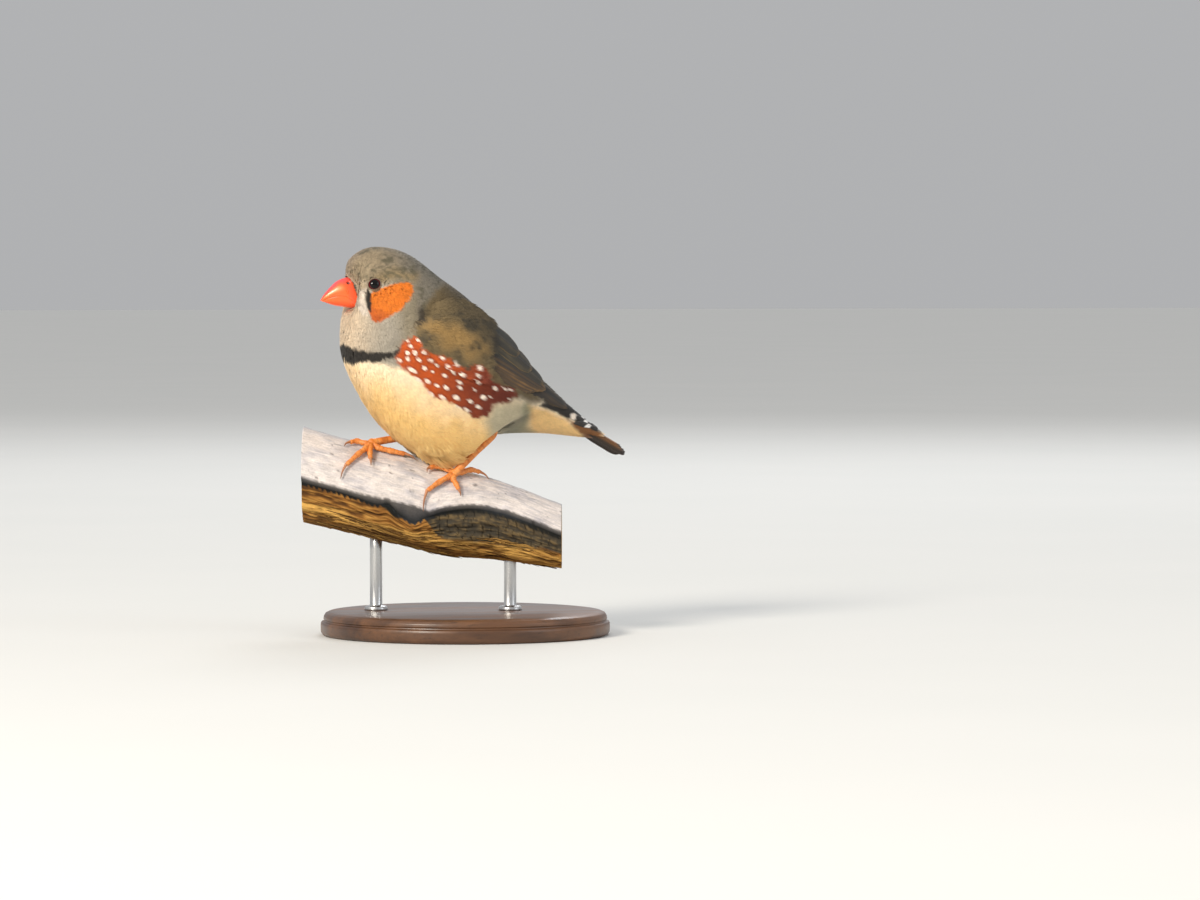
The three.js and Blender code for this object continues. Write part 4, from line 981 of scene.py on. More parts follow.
wing = {
    "tiers": {  # from the lowest layer up: first and last feather by shares of the wing's length and height
        "primaries": {
            "count": 8, "root": [(0.4, 0.82), (0.4, 0.5)], "tip": [(0.86, 0.93), (0.99, 0.4)],
            "lift": (0.5, 1.0), "width": 3.6, "bow": 0.04, "thick": 0.16, "camber": 0.12, "tipFrom": 0.72,
            "tipShape": 2.2, "fray": 0.06, "edging": tone(92, 72, 46),
            "tones": streakTone(tone(36, 31, 23), tone(27, 23, 18), tone(74, 56, 33), 0.5)},
        "secondaries": {
            "count": 6, "root": [(0.28, 0.86), (0.3, 0.5)], "tip": [(0.72, 0.9), (0.83, 0.42)],
            "lift": (1.0, 1.4), "width": 4.2, "bow": 0.03, "thick": 0.16, "camber": 0.16, "tipFrom": 0.76,
            "tipShape": 2.4, "fray": 0.06, "edging": tone(120, 92, 54),
            "tones": streakTone(tone(42, 35, 24), tone(32, 27, 20), tone(122, 88, 45), 0.75)},
        "tertials": {
            "count": 3, "root": [(0.3, 0.44), (0.28, 0.16)], "tip": [(0.81, 0.32), (0.63, 0.14)],
            "lift": (1.4, 1.75), "width": 5.2, "bow": -0.02, "thick": 0.16, "camber": 0.22, "tipFrom": 0.74,
            "tipShape": 2.4, "fray": 0.06, "edging": tone(126, 102, 66),
            "tones": streakTone(tone(40, 38, 29), tone(32, 30, 23), tone(78, 67, 44), 0.6)},
        "greaterCoverts": {
            "count": 8, "root": [(0.17, 0.88), (0.17, 0.16)], "tip": [(0.47, 0.93), (0.44, 0.18)],
            "lift": (1.6, 1.95), "width": 4.4, "bow": 0.0, "thick": 0.14, "camber": 0.2, "tipFrom": 0.74,
            "tipShape": 2.4, "fray": 0.12, "edging": tone(138, 108, 62),
            "tones": streakTone(tone(70, 59, 38), tone(54, 46, 31), tone(116, 92, 50), 0.6)},
    },
    "pad": {"u": (0.012, 0.56), "v": (0.03, 0.97), "height": 1.35, "rows": 50, "columns": 40},
    "tufts": {"along": (0.0, 0.48), "around": (-0.02, 1.02), "spacing": 0.66, "barbs": 9, "width": 0.55},
    "seeds": {"Left": 20, "Right": 21},
}


def wingVane(tier, share, draw, cell, cells):  # share runs from a tier's first feather to its last
    (u0, v0), (u1, v1) = (blendOf(*np.array(tier[key]), share) for key in ("root", "tip"))
    height = blendOf(*tier["lift"], share)

    def place(w, aside, over):
        u = blendOf(u0, u1, w)
        span = np.linalg.norm(lineThrough(wingBed["top"], u) - lineThrough(wingBed["foot"], u), axis=1)
        v = blendOf(v0, v1, w) + tier["bow"] * 4 * w * (1 - w) + aside / span
        return wingPoint(u, v, height - 0.5 * (1 - w) + over)

    return vaneParts(place, tier, draw, cell, cells)


def bendSink(u):  # the wing's bend goes down under the feathers of the neck
    return -2.3 * (1 - smooth(u, 0.0, 0.17))


def wingPad():  # the arm under the coverts
    pad = wing["pad"]
    rows, columns = pad["rows"], pad["columns"]
    a, b = np.linspace(0, 1, rows)[:, None], np.linspace(0, 1, columns)[None, :]
    u, v = blendOf(*pad["u"], a) + 0 * b, blendOf(*pad["v"], b) + 0 * a
    ends = np.sqrt(np.clip(1 - np.abs(2 * a - 1) ** np.where(a < 0.5, 2.2, 6), 0, 1))
    rim = np.sqrt(np.clip(1 - np.abs(2 * b - 1) ** 6, 0, 1)) * ends
    sunk = bendSink(u)
    high = 0.1 + pad["height"] * rim + sunk
    top = wingPoint(u.ravel(), v.ravel(), high.ravel()).reshape(rows, columns, 3)
    bottom = wingPoint(u.ravel(), v.ravel(), sunk.ravel()).reshape(rows, columns, 3)
    points, faces = slab(top, bottom)
    # the pad shows the markings, darkened as painted shade under the wing's tufts
    tint = markings(points) * 0.8
    across = np.tile(np.stack([(b + 0 * a).ravel(), (a + 0 * b).ravel()], axis=1), (2, 1))
    return points, faces, {"marking": tint, "edging": tint}, {"featherMap": across * 0.02 + 0.24}


def buildWing(side):
    draw = np.random.default_rng(wing["seeds"][side])
    tiers = wing["tiers"].values()
    cells = sum(tier["count"] for tier in tiers) + 1
    parts = []
    for tier in tiers:
        for k in range(tier["count"]):
            parts.append(wingVane(tier, k / (tier["count"] - 1), draw, len(parts), cells))
    points, faces, colours, maps = wingPad()
    grid = wing["pad"]["rows"], wing["pad"]["columns"]
    maps["OFBake"] = np.vstack([gridMap(*grid, 2 * len(parts) + k, 2 * cells) for k in (0, 1)])
    parts.append((points, faces, colours, maps))
    points, faces, colours, maps = joinParts(parts)
    points = points * (1, sides[side], 1)
    buildPiece("wing" + side, points, outwards(points, faces), colours, maps, wingFinish, "wing_feathers",
               "wing_" + side.lower())
    along, around = tuftPlaces(wing["tufts"], wingCover, draw)
    keep = along < 0.33 + 0.12 * draw.random(len(along))
    along, around = along[keep], around[keep]
    front = np.sqrt(1 - (1 - np.clip(along / 0.12, 0, 1)) ** 2)
    top = 1.9 * (0.25 + 0.75 * front) + 0.5 * np.clip(along / 0.3, 0, 1)
    length = (2.6 + 2.4 * np.clip(along / 0.3, 0, 1)) * (0.85 + 0.3 * draw.random(len(along)))
    top = top + bendSink(along)
    heights = 0.9 * front + bendSink(along), top - 0.35, top
    lie = np.ones(len(along)), 0.1 * noiseAt(wingCover(along, around, 0 * along), 2.0)

    def chart(u, v, grow):
        return wingCover(u, v, grow) * (1, sides[side], 1)

    growTufts("coatWing" + side, wing["tufts"], chart, (along, around), lie, heights, length, draw)


wingFinish = makeVaned("wingFeathers")
for side in sides:
    buildWing(side)


# Tail

tail = {
    "root": (36.7, 0.0, 59.4), "tip": (47.8, 0.0, 53.4), "pairs": 6, "spread": 2.2,
    "vane": {"width": 3.0, "thick": 0.16, "camber": 0.1, "tipFrom": 0.78, "tipShape": 2.6, "fray": 0.05,
             "edging": tone(58, 44, 32)},
    "middle": tone(150, 98, 46), "outer": tone(52, 40, 27), "end": tone(44, 30, 20),
}


def tailTone(share):  # the middle pair is the warmest
    def tones(w, s, chance):
        return lay(base, tail["end"], smooth(w, 0.86, 1.0) + 0.3 * s**6)

    base = blendOf(tail["middle"], tail["outer"], smooth(share, 0.25, 0.75))
    return tones


def buildTail():
    draw = np.random.default_rng(31)
    root, tip = np.array(tail["root"]), np.array(tail["tip"])
    way = unit(tip - root)
    up = np.array((-way[2], 0, way[0]))
    pairs = tail["pairs"]
    parts = []
    for k in reversed(range(pairs)):
        share = k / (pairs - 1)
        for side in (1, -1):
            def place(w, aside, over):
                out = side * blendOf(0.7 + 0.35 * k, 0.8 + tail["spread"] * share, w) + aside
                drop = 0.25 * k + 0.08 * out**2 + (0.15 if side > 0 else 0)
                start = root - way * 3.0
                points = start + column(w * (0.88 + 0.12 * smooth(share, 0, 0.6))) * (tip - start)
                points = points + column(0.7 - drop - 0.3 * w + over) * up
                points[:, 1] = out
                return points
            vane = dict(tail["vane"], tones=tailTone(share))
            parts.append(vaneParts(place, vane, draw, len(parts), 2 * pairs + 1))
    ringAt = []
    for t in np.linspace(0, 0.75, 12):  # the root inside the coverts
        a = anglesRound(24)
        ring = root + t * (tip - root) + column(1.15 * (1 - 0.5 * t) * np.cos(a) - 0.5) * up
        ring[:, 1] = 3.0 * (1 - 0.5 * t) * np.sin(a)
        ringAt.append(ring)
    points, faces = closedTube(np.array(ringAt))
    dark = np.ones((len(points), 3)) * tail["outer"]
    bake = tubeMap(12, 24, 0.99, 4 * pairs, 4 * pairs + 2)
    parts.append((points, outwards(points, faces), {"marking": dark, "edging": dark},
                  {"featherMap": bake * 0 + 0.24, "OFBake": bake}))
    buildPiece("tailFeathers", *joinParts(parts), makeVaned("tailFeathers"), "tail_feathers", "tail")


coverts = {  # the long feathers over the tail's root: black with white bars
    "ranks": [(11.7, 0.16), (11.9, 0.5), (12.1, 0.85), (12.5, 0.22), (12.6, 0.6)],  # rib, share of the spread
    "spread": 0.42,  # from the top down to each side, in half turns
    "vane": {"width": 3.2, "thick": 0.12, "camber": 0.25, "tipFrom": 0.5, "tipShape": 2.0, "fray": 0.16,
             "edging": tone(44, 40, 36)},
    "length": 4.8, "ribLength": 6.6, "bar": tone(240, 236, 230),
}


def covertTone(w, s, chance):  # black with one broad white bar before the tip
    bar = smooth(w - 0.04 * s**2, 0.62, 0.68) * (1 - smooth(w - 0.04 * s**2, 0.84, 0.9))
    return lay(marks["black"], coverts["bar"], bar)


def buildCoverts():
    draw = np.random.default_rng(33)
    vane = dict(coverts["vane"], tones=covertTone)
    parts = []
    ranks = coverts["ranks"]
    for k, (rib, share) in enumerate(ranks):
        for side in (1, -1):
            angle = side * share * math.pi * coverts["spread"]
            lift = 0.02 + 0.07 * (k % 3)

            def place(w, aside, over):
                ribHere = rib + w * coverts["length"] / coverts["ribLength"]
                half = np.interp(ribHere, [11, 12, 13, 14], [10, 6.6, 3.6, 3.0])
                grow = lift + over - 0.9 * (1 - smooth(w, 0, 0.3))
                return coatPoint(ribHere, angle * (1 - 0.2 * w) + aside / half, grow)

            parts.append(vaneParts(place, vane, draw, len(parts), 2 * len(ranks)))
    buildPiece("tailCoverts", *joinParts(parts), wingFinish, "plumage")


buildTail()
buildCoverts()
print("wings and tail built")


# Bill

bill = {
    "stations": [  # x and z of its ridge, of the mouth's line and of its keel, and its share of the width
        (-30.5, 103.6, -30.2, 96.0, -29.8, 94.9, 1.0), (-34.6, 103.9, -33.2, 96.8, -32.8, 94.9, 1.0),
        (-37.8, 102.8, -35.9, 98.2, -35.9, 95.2, 0.84), (-40.0, 100.9, -38.4, 98.3, -38.5, 95.6, 0.62),
        (-41.8, 98.8, -40.8, 97.7, -40.5, 96.2, 0.34), (-42.9, 97.1, -42.4, 96.9, -41.7, 96.7, 0.08)],
    "halfWidth": 3.7, "gap": 0.1,
    # the nostrils are dents, darkened by painted shade in their hollows
    "nostril": {"place": (-35.1, 2.2, 102.2), "radius": 0.42, "depth": 0.4},
    "ridge": tone(240, 78, 84), "side": tone(255, 104, 38), "low": tone(255, 86, 8),
    # streak is a painted highlight along the side of the upper bill
    "streak": tone(255, 172, 104), "base": tone(232, 74, 44), "hollowShade": tone(70, 18, 14),
}


def buildBill(name, far, side, node):  # far is the column of its outer line, and side is 1 above, -1 below
    rows, columns = 90, 72
    t = np.linspace(0, 1, rows)
    line = lineThrough(bill["stations"], t)
    mouth = np.stack([line[:, 2], 0 * t, line[:, 3] + side * bill["gap"] / 2], axis=1)
    reach = np.stack([line[:, far], 0 * t, line[:, far + 1]], axis=1) - mouth
    half = bill["halfWidth"] * line[:, 6]
    turnShare = np.linspace(0, 1, columns)
    angle = turnShare * math.pi
    full, wide = (0.9, 1.0) if side > 0 else (0.72, 0.8)  # the lower bill is the squarer one
    rings = mouth[:, None] + reach[:, None] * (np.sin(angle) ** full)[None, :, None]
    edge = 0.12 * side * np.abs(np.cos(angle)) ** 6  # the cutting edges bend a little over the mouth
    rings[..., 1] = half[:, None] * (np.sign(np.cos(angle)) * np.abs(np.cos(angle)) ** wide)[None, :]
    rings[..., 2] -= edge[None, :] * (1 - t[:, None]) * 0.8
    # shade marks the nostril dents, which are painted dark as painted shade
    hole = np.array(bill["nostril"]["place"])
    shade = np.zeros(rings.shape[:2])
    for hand in (1, -1):
        away = rings - hole * (1, hand, 1)
        near = np.hypot(away[..., 0] / 1.3, away[..., 2]) / bill["nostril"]["radius"]
        dent = (1 - smooth(near, 0.5, 1.1)) * (rings[..., 1] * hand > 0) * (side > 0)
        rings[..., 1] -= hand * dent * bill["nostril"]["depth"]
        rings[..., 2] -= dent * 0.25
        shade = np.maximum(shade, dent)
    points, faces = closedTube(rings)
    shade = np.append(shade.ravel(), [0, 0])
    up = np.append(np.tile(np.sin(angle), rows), [0.5, 0.5])
    along = np.append(np.repeat(t, columns), [0, 1])
    if side > 0:
        colour = lay(bill["side"], bill["ridge"], smooth(up + 0.1 * noiseAt(points, 1.4), 0.62, 0.95))
        # a painted highlight: a pale streak of glinting light along the upper bill's side
        light = bell(up, 0.52, 0.13) * smooth(along, 0.3, 0.5) * (1 - smooth(along, 0.75, 0.95))
        colour = lay(colour, bill["streak"], 0.55 * light)
    else:
        colour = lay(bill["side"], bill["low"], smooth(up, 0.2, 0.8))
    colour = lay(colour, bill["base"], 0.6 * (1 - smooth(along, 0.22, 0.4)))
    # painted shade in the nostrils' hollows
    colour = lay(colour, bill["hollowShade"], shade)
    buildPiece(name, points, outwards(points, faces), {"marking": colour}, {"OFBake": tubeMap(rows, columns)},
               billHorn, "bill", node)


def makeBillHorn():
    material, tree, shader, flecks = makeFinish("billHorn")
    growth = noiseNode(tree, objectPlace(tree), 900, 3.0, 0.6, (1.0, 1.0, 0.25))
    tree.links.new(rangeNode(tree, growth, 0.3, 0.7, 0.26, 0.46), shader["Roughness"])
    addBump(tree, shader, growth, 0.05, 0.5)
    return material


billHorn = makeBillHorn()
buildBill("billUpper", 0, 1, "bill_upper")
buildBill("billLower", 4, -1, "bill_lower")
print("bill built")


# Eyes

lids = {
    "profile": [  # distance from the eye's axis and height over the head
        (3.0, -1.25), (2.5, -0.68), (2.15, -0.36), (1.92, -0.1), (1.8, 0.06), (1.7, 0.13), (1.6, 0.08),
        (1.56, -0.02), (1.62, -0.25), (1.9, -1.3)],
    "stretch": (1.1, 0.92), "tilt": 0.35, "rise": 0.26,
    "rim": tone(70, 52, 42), "outer": tone(146, 128, 104),
}


def eyeFrame():  # ahead and above, round the way that the eye looks
    ahead = unit(np.cross((0, 0, 1), eyeWay))
    ahead = -ahead if ahead[0] > 0 else ahead
    above = np.cross(eyeWay, ahead)
    above = -above if above[2] < 0 else above
    c, s = math.cos(lids["tilt"]), math.sin(lids["tilt"])
    return ahead * c - above * s, above * c + ahead * s


def eyeRing(turn, wide=1.0, high=1.0):
    ahead, above = eyeFrame()
    return np.cos(turn)[:, None] * ahead * wide + np.sin(turn)[:, None] * above * high


def buildEyeBall(side):
    depth = math.sqrt(eyes["ball"] ** 2 - eyes["opening"] ** 2)
    centre = eyePoint - eyeWay * depth
    rows, columns = 64, 72
    polar = np.linspace(0, math.pi, rows)[1:-1]
    ring = eyeRing(anglesRound(columns))
    rings = np.cos(polar)[:, None, None] * eyeWay + np.sin(polar)[:, None, None] * ring
    rings = centre + eyes["ball"] * rings
    points, faces = closedTube(rings)
    radius = np.append(np.repeat(eyes["ball"] * np.sin(polar), columns), [0, 0])
    speck = noiseAt(points * 3, 0.5)
    iris = smooth(radius, 1.3, 1.42) * (1 - smooth(radius, 1.66, 1.76))  # a ring round the pupil
    colour = lay(eyes["pupil"], eyes["iris"], iris * (0.8 + 0.2 * speck))
    points = points * (1, sides[side], 1)
    buildPiece("eyeBall" + side, points, outwards(points, faces), {"marking": colour},
               {"OFBake": tubeMap(rows - 2, columns)}, eyeGloss, "eye", "eye_" + side.lower())


def buildLids(side):
    profile = np.array(lids["profile"])
    columns = 96
    turn = anglesRound(columns)
    wrinkle = 1 + 0.012 * np.sin(turn * 31) + 0.01 * np.sin(turn * 17 + 1)
    ring = eyeRing(turn, *lids["stretch"])
    rise = lids["rise"] * bell(profile[:, :1], 1.62, 0.3) * np.sin(turn)[None, :] ** 2
    rings = (eyePoint + profile[:, None, :1] * wrinkle[None, :, None] * ring[None]
             + (profile[:, 1:] + rise)[..., None] * eyeWay)
    count = len(profile)
    points = rings.reshape(-1, 3) * (1, sides[side], 1)
    i, j = gridPairs(np.arange(count), np.arange(columns))
    here, beyond, other = i * columns, (i + 1) % count * columns, (j + 1) % columns
    quads = np.stack([here + j, here + other, beyond + other, beyond + j], axis=1)
    share = np.repeat(smooth(profile[:, 0], 1.66, 1.82), columns)
    colour = lay(lids["rim"], lids["outer"], share)
    buildPiece("lids" + side, points, outwards(points, [quads]), {"marking": colour},
               {"OFBake": gridMap(count, columns)}, bareSkin, "leg_skin")


eyeGloss = makeFinish("eyeGloss")[0]
bareSkin = makeFinish("bareSkin")[0]
for side in sides:
    buildEyeBall(side)
    buildLids(side)
print("eyes built")


# Perch

perch = {  # the stalk runs across the camera's view
    "halfDepth": 13.5, "crown": 15.0, "middle": 1.5, "lip": 1.2, "inset": 2.2,
    "stations": [  # along, then the heights of its ridge, of its near edge and of its underside
        (-47, 60.6, 45.8, 33.0), (-36, 57.2, 42.8, 30.4), (-26, 54.8, 39.6, 28.0), (-15, 52.3, 35.2, 25.4),
        (-6, 49.4, 37.2, 23.2), (3, 46.8, 38.0, 22.6), (12, 43.9, 36.4, 21.8), (20, 41.0, 33.4, 20.6),
        (28, 37.8, 30.2, 19.4)],
    "notches": [(-21.8, 2.2, 1.8), (-14.6, 1.9, -0.9)],  # in the near edge: along, width and height
    "ends": (-47, 28), "rows": 240, "topColumns": 90, "underColumns": 140,
    # the bluish tone is painted sky light, on the upper face and as a gleam on the lip
    "pale": tone(228, 218, 212), "shade": tone(176, 172, 178), "paintedSkyTone": tone(178, 190, 208),
    "pit": tone(92, 84, 80), "dark": tone(26, 27, 25), "bark": tone(66, 60, 50),
    "barkLight": tone(128, 106, 70),
    "fibre": tone(150, 100, 44), "fibreLight": tone(224, 174, 92), "fibreDark": tone(84, 55, 27),
    "pith": tone(196, 160, 108), "cutSteps": 24,
    "strands": {"count": 190, "from": -46.2, "to": 27.2, "length": (5, 18), "radius": 0.12, "out": 0.7},
}
stalkLine = lineThrough(perch["stations"], np.linspace(0, 1, 900))


def stalkAt(along):  # heights of the ridge, the near edge and the underside
    return [np.interp(along, stalkLine[:, 0], stalkLine[:, k]) for k in (1, 2, 3)]


def onStalk(along, across, up):  # from the stalk's own axes to the part's
    c, s = math.cos(turnOfView), math.sin(turnOfView)
    return np.stack([along * c - across * s, along * s + across * c, up + 0 * along], axis=-1)


def stalkTop(along, across):  # height of its upper face
    share = np.clip(np.abs(across - perch["middle"]) / perch["halfDepth"], 0, 1)
    return stalkAt(along)[0] - perch["crown"] * (1 - np.sqrt(1 - share**2))


def overStalk(place):  # along, across and that far over the upper face
    along, across, height = (np.array(v, float) for v in place)
    slope = (stalkTop(along, across + 0.1) - stalkTop(along, across - 0.1)) / 0.2
    lift = (height + 0.3) / np.hypot(slope, 1)
    return onStalk(along, across - slope * lift, stalkTop(along, across) + lift)


def topFace(t, coarse, fine, speck, pits):  # weathered and pale, with painted blue sky light towards the far side, dark at its edge
    colour = lay(perch["pale"], perch["shade"], np.clip(0.2 + 0.6 * coarse + 0.6 * fine, 0, 1) * 0.8)
    # painted sky light: bluish shading towards the far side
    colour = lay(colour, perch["paintedSkyTone"], 0.6 * smooth(t + 0.05 * coarse, 0.3, 0.6))
    colour = lay(colour, perch["pit"], 0.7 * pits)
    return lay(colour, perch["dark"], 0.8 * (1 - smooth(t + 0.006 * speck, 0.004, 0.02)))


def nearFace(along, share, below, coarse, fine, speck):  # a dark lip, bark below it and then fibres, with painted shadow under the lip, painted shade in a hollow and towards the bottom
    fibre = lay(perch["fibre"], perch["fibreDark"], 0.25 - 0.6 * coarse - 1.1 * fine)
    golden = bell(share - 0.68 - 0.08 * coarse, 0, 0.1)
    fibre = lay(fibre, perch["fibreLight"], 0.85 * golden + 0.5 * fine)
    # painted shade: the fibres darken towards the bottom of the underside
    fibre = lay(fibre, perch["fibreDark"], 0.6 * smooth(share + 0.05 * coarse, 0.84, 0.98))
    # the hollow under the hump is painted shade
    hollowShade = bell(along, -20.5, 3.8)
    patches = smooth(0.2 * coarse + 0.8 * fine + 0.6 * speck, -0.4, 1.0)
    crack = smooth(np.cos(along * 2.6 + 2.2 * coarse) + 0.3 * speck, 0.86, 1.05)
    bark = lay(perch["bark"], perch["barkLight"], 0.75 * patches) * (1 - 0.75 * column(crack))
    # painted shade in the hollow, and painted shadow just under the lip
    bark = lay(bark, perch["dark"], hollowShade + (below < 2.2) * 0.7)
    barkEnd = 0.66 * smooth(along, -14, -6) - 0.12 * smooth(along, 8, 24) + 0.34 * hollowShade
    colour = lay(bark, fibre, smooth(share + 0.05 * coarse, barkEnd - 0.03, barkEnd + 0.03))
    teeth = 0.3 * np.cos(along * 3.9 + 2.5 * coarse) + 0.4 * speck
    # the lip is dark, with a bluish painted gleam in noisy flecks
    lip = lay(perch["dark"], perch["paintedSkyTone"] * 0.08, 0.6 * smooth(coarse + 0.3 * fine, -0.2, 0.8))
    return lay(lip, colour, smooth(below + teeth, perch["lip"] + 0.5, perch["lip"] + 0.9))


def cutTone(cut, shares):  # pale pith with the ends of dark fibres, and a dark rind
    dots = smooth(noiseAt(cut.reshape(-1, 3), 0.8), 0.12, 0.4).reshape(cut.shape[:2])
    pith = lay(perch["pith"], perch["fibreDark"], 0.75 * dots)
    return blendOf(pith, perch["bark"], smooth(shares, 0.86, 0.97))


def buildPerch():
    rows = perch["rows"]
    along = np.linspace(*perch["ends"], rows)
    ridge, edge, under = stalkAt(along)
    edge = edge + sum(high * bell(along, at, wide) for at, wide, high in perch["notches"])
    nearShare = np.sqrt(1 - (1 - np.minimum((ridge - edge) / perch["crown"], 0.98)) ** 2)
    rings, kinds, depths = [], [], []
    for t in np.linspace(0, 1, perch["topColumns"]):
        angle = blendOf(-np.arcsin(nearShare), math.asin(0.98), t)
        across = perch["middle"] + perch["halfDepth"] * np.sin(angle)
        rings.append(onStalk(along, across, stalkTop(along, across)))
        kinds.append((0, t))
        depths.append(0 * along)
    farTop = stalkTop(along, np.full(rows, perch["middle"] + perch["halfDepth"] * 0.98))
    for t in np.linspace(0, 1, perch["underColumns"]):
        a = t * math.pi
        top = blendOf(farTop, edge, t) - perch["lip"]
        across = np.full(rows, perch["middle"] + (perch["halfDepth"] - perch["inset"]) * math.cos(a))
        rings.append(onStalk(along, across, blendOf(top, under, math.sin(a) ** 0.8)))
        kinds.append((1, t))
        depths.append((top - under) * math.sin(a) ** 0.8 + perch["lip"])
    below = np.stack(depths, axis=1)
    rings = np.stack(rings, axis=1)
    kind = np.array([k for k, _ in kinds])[None, :] * np.ones((rows, 1))
    t = np.array([v for _, v in kinds])[None, :] * np.ones((rows, 1))
    alongAll = along[:, None] * np.ones_like(t)
    centre = np.stack([onStalk(along, np.full(rows, perch["middle"]), (ridge + under) / 2)], axis=1)
    out = unit(rings - centre)
    streak = np.stack([alongAll * 0.12, t * (20 + 14 * kind), kind * 7.3], axis=-1).reshape(-1, 3)
    coarse = noiseAt(streak, 0.9).reshape(t.shape)
    fine = noiseAt(streak + 5, 0.28).reshape(t.shape)
    dents = noiseAt(rings.reshape(-1, 3), 4.5).reshape(t.shape)
    topRelief = 0.14 * fine + 0.16 * coarse + 0.15 * dents
    underRelief = 0.55 * coarse + 0.5 * fine + 0.2 * dents
    border = smooth(np.minimum(t, 1 - t), 0, 0.06)
    relief = np.where(kind > 0, underRelief * border, topRelief * smooth(t, 0.0, 0.04) - 0.15)
    rings = rings + column(np.minimum(relief, 0.45)) * out
    speck = noiseAt(rings.reshape(-1, 3), 0.7).reshape(t.shape)
    pits = smooth(noiseAt(streak * (1.8, 1.2, 1) + 11, 0.45).reshape(t.shape) + 0.35 * speck, 0.62, 0.84)
    share = below / ((edge - under)[:, None] + 0.01)
    colour = np.where(column(kind) > 0, nearFace(alongAll, share, below, coarse, fine, speck),
                      topFace(t, coarse, fine, speck, pits))
    share = np.append(np.linspace(0.05, 0.94, perch["cutSteps"]), 0.996)[:, None, None]
    front = centre[:1] + share * (rings[:1] - centre[:1])
    back = centre[-1:] + share[::-1] * (rings[-1:] - centre[-1:])
    colour = np.concatenate([cutTone(front, share), colour, cutTone(back, share[::-1])])
    streakMap = np.stack([alongAll / 100, (t + kind * 1.3) * 0.35], axis=-1)
    streakMap = np.concatenate([front[..., 1:] / 100, streakMap, back[..., 1:] / 100]).reshape(-1, 2)
    points, faces = closedTube(np.concatenate([front, rings, back]))
    colour = np.vstack([colour.reshape(-1, 3), perch["pith"], perch["pith"]])
    maps = {"OFBake": gridMap(rows + 2 * len(share), t.shape[1]), "streakMap": streakMap}
    maps = {key: np.vstack([places, places[:1], places[-1:]]) for key, places in maps.items()}
    buildPiece("stalk", points, outwards(points, faces), {"marking": colour}, maps, stalkFinish, "stalk",
               "perch")


def buildStrands():  # loose fibres along the underside
    draw = np.random.default_rng(41)
    settings = perch["strands"]
    parts = []
    for k in range(settings["count"]):
        size = draw.uniform(*settings["length"])
        start = draw.uniform(settings["from"], settings["to"] - size)
        along = np.linspace(start, start + size, 5)
        ridge, edge, under = stalkAt(along)
        a = math.pi * np.clip(draw.uniform(0.42, 0.86) + 0.012 * np.cumsum(draw.normal(0, 1, 5)), 0.3, 0.93)
        across = perch["middle"] + (perch["halfDepth"] - perch["inset"]) * np.cos(a)
        out = 0.05 + settings["out"] * np.abs(np.linspace(-0.5, 1, 5)) ** 2 * draw.random()
        up = blendOf(edge - perch["lip"], under, np.sin(a) ** 0.8) - out
        across = across - out * 0.5
        line = onStalk(along, across, up)
        radius = settings["radius"] * draw.uniform(0.6, 1.5)
        points, faces = limb(line, lambda t: radius * (0.25 + np.sin(math.pi * t) ** 0.6), 6, 14)
        tint = blendOf(perch["fibreDark"], perch["fibreLight"], 0.8 * draw.random() ** 2)
        bake = tubeMap(14, 6, 0.997, k, settings["count"])
        parts.append((points, faces, {"marking": tint * np.ones((len(points), 3))},
                      {"OFBake": bake, "streakMap": bake}))
    buildPiece("stalkFibres", *joinParts(parts), stalkFinish, "stalk")


def makeStalkFinish():
    material, tree, shader, flecks = makeFinish("weatheredStalk")
    streaks = noiseNode(tree, mapPlace(tree, "streakMap"), 260, 5.0, 0.65, (0.12, 1.0, 1.0))
    level = rangeNode(tree, streaks, 0.25, 0.75, 0.72, 1.18, "LINEAR")
    tree.links.new(scaleNode(tree, flecks["Color"], level), shader["Base Color"])
    height = mathNode(tree, "ADD", streaks, mathNode(tree, "MULTIPLY", flecks["Height"], 0.4))
    tree.links.new(rangeNode(tree, height, 0.4, 1.0, 0.75, 0.92), shader["Roughness"])
    addBump(tree, shader, height, 0.5, 0.6)
    return material


stalkFinish = makeStalkFinish()
buildPerch()
buildStrands()
print("perch built")


# Legs

legs = {  # the heel in the part's frame, and the toes from the palm out, by places on the stalk
    "Left": {"heel": (6.5, -7.0, 58.4), "root": (-2.9, -6.0, 1.25), "seed": 51, "toes": {
        "inner": [(-5.4, -4.9, 1.05), (-8.1, -5.1, 0.95), (-10.1, -6.4, 0.8), (-10.8, -7.7, 0.35)],
        "middle": [(-4.4, -7.2, 1.05), (-7.4, -9.2, 0.95), (-10.7, -10.9, 0.8), (-11.8, -12.0, 0.35)],
        "outer": [(-3.2, -7.6, 1.05), (-2.3, -8.6, 0.95), (-1.6, -9.4, 0.8), (-1.0, -10.2, 0.35)],
        "hind": [(-0.7, -4.6, 1.2), (1.8, -2.6, 1.4), (4.4, -1.6, 1.1), (7.0, -3.2, 0.35)]}},
    "Right": {"heel": (-13.6, 7.4, 57.8), "root": (-27.0, -2.8, 1.5), "seed": 52, "toes": {
        "inner": [(-27.3, -4.8, 1.05), (-27.3, -6.6, 0.95), (-27.1, -8.0, 0.8), (-26.9, -9.2, 0.35)],
        "middle": [(-28.4, -5.2, 1.05), (-30.8, -7.7, 0.95), (-34.1, -10.2, 0.8), (-35.6, -11.6, 0.35)],
        "outer": [(-28.8, -3.2, 1.05), (-31.3, -2.8, 0.95), (-33.3, -4.2, 0.8), (-34.8, -5.8, 0.35)],
        "hind": [(-25.0, -3.8, 1.0), (-21.2, -3.9, 0.9), (-17.2, -3.7, 0.8), (-14.2, -4.7, 0.35)]}},
}
limbSizes = {"tarsus": 1.18, "toe": 0.92, "palm": 1.2, "clawRoot": 0.5, "clawTip": 0.09}
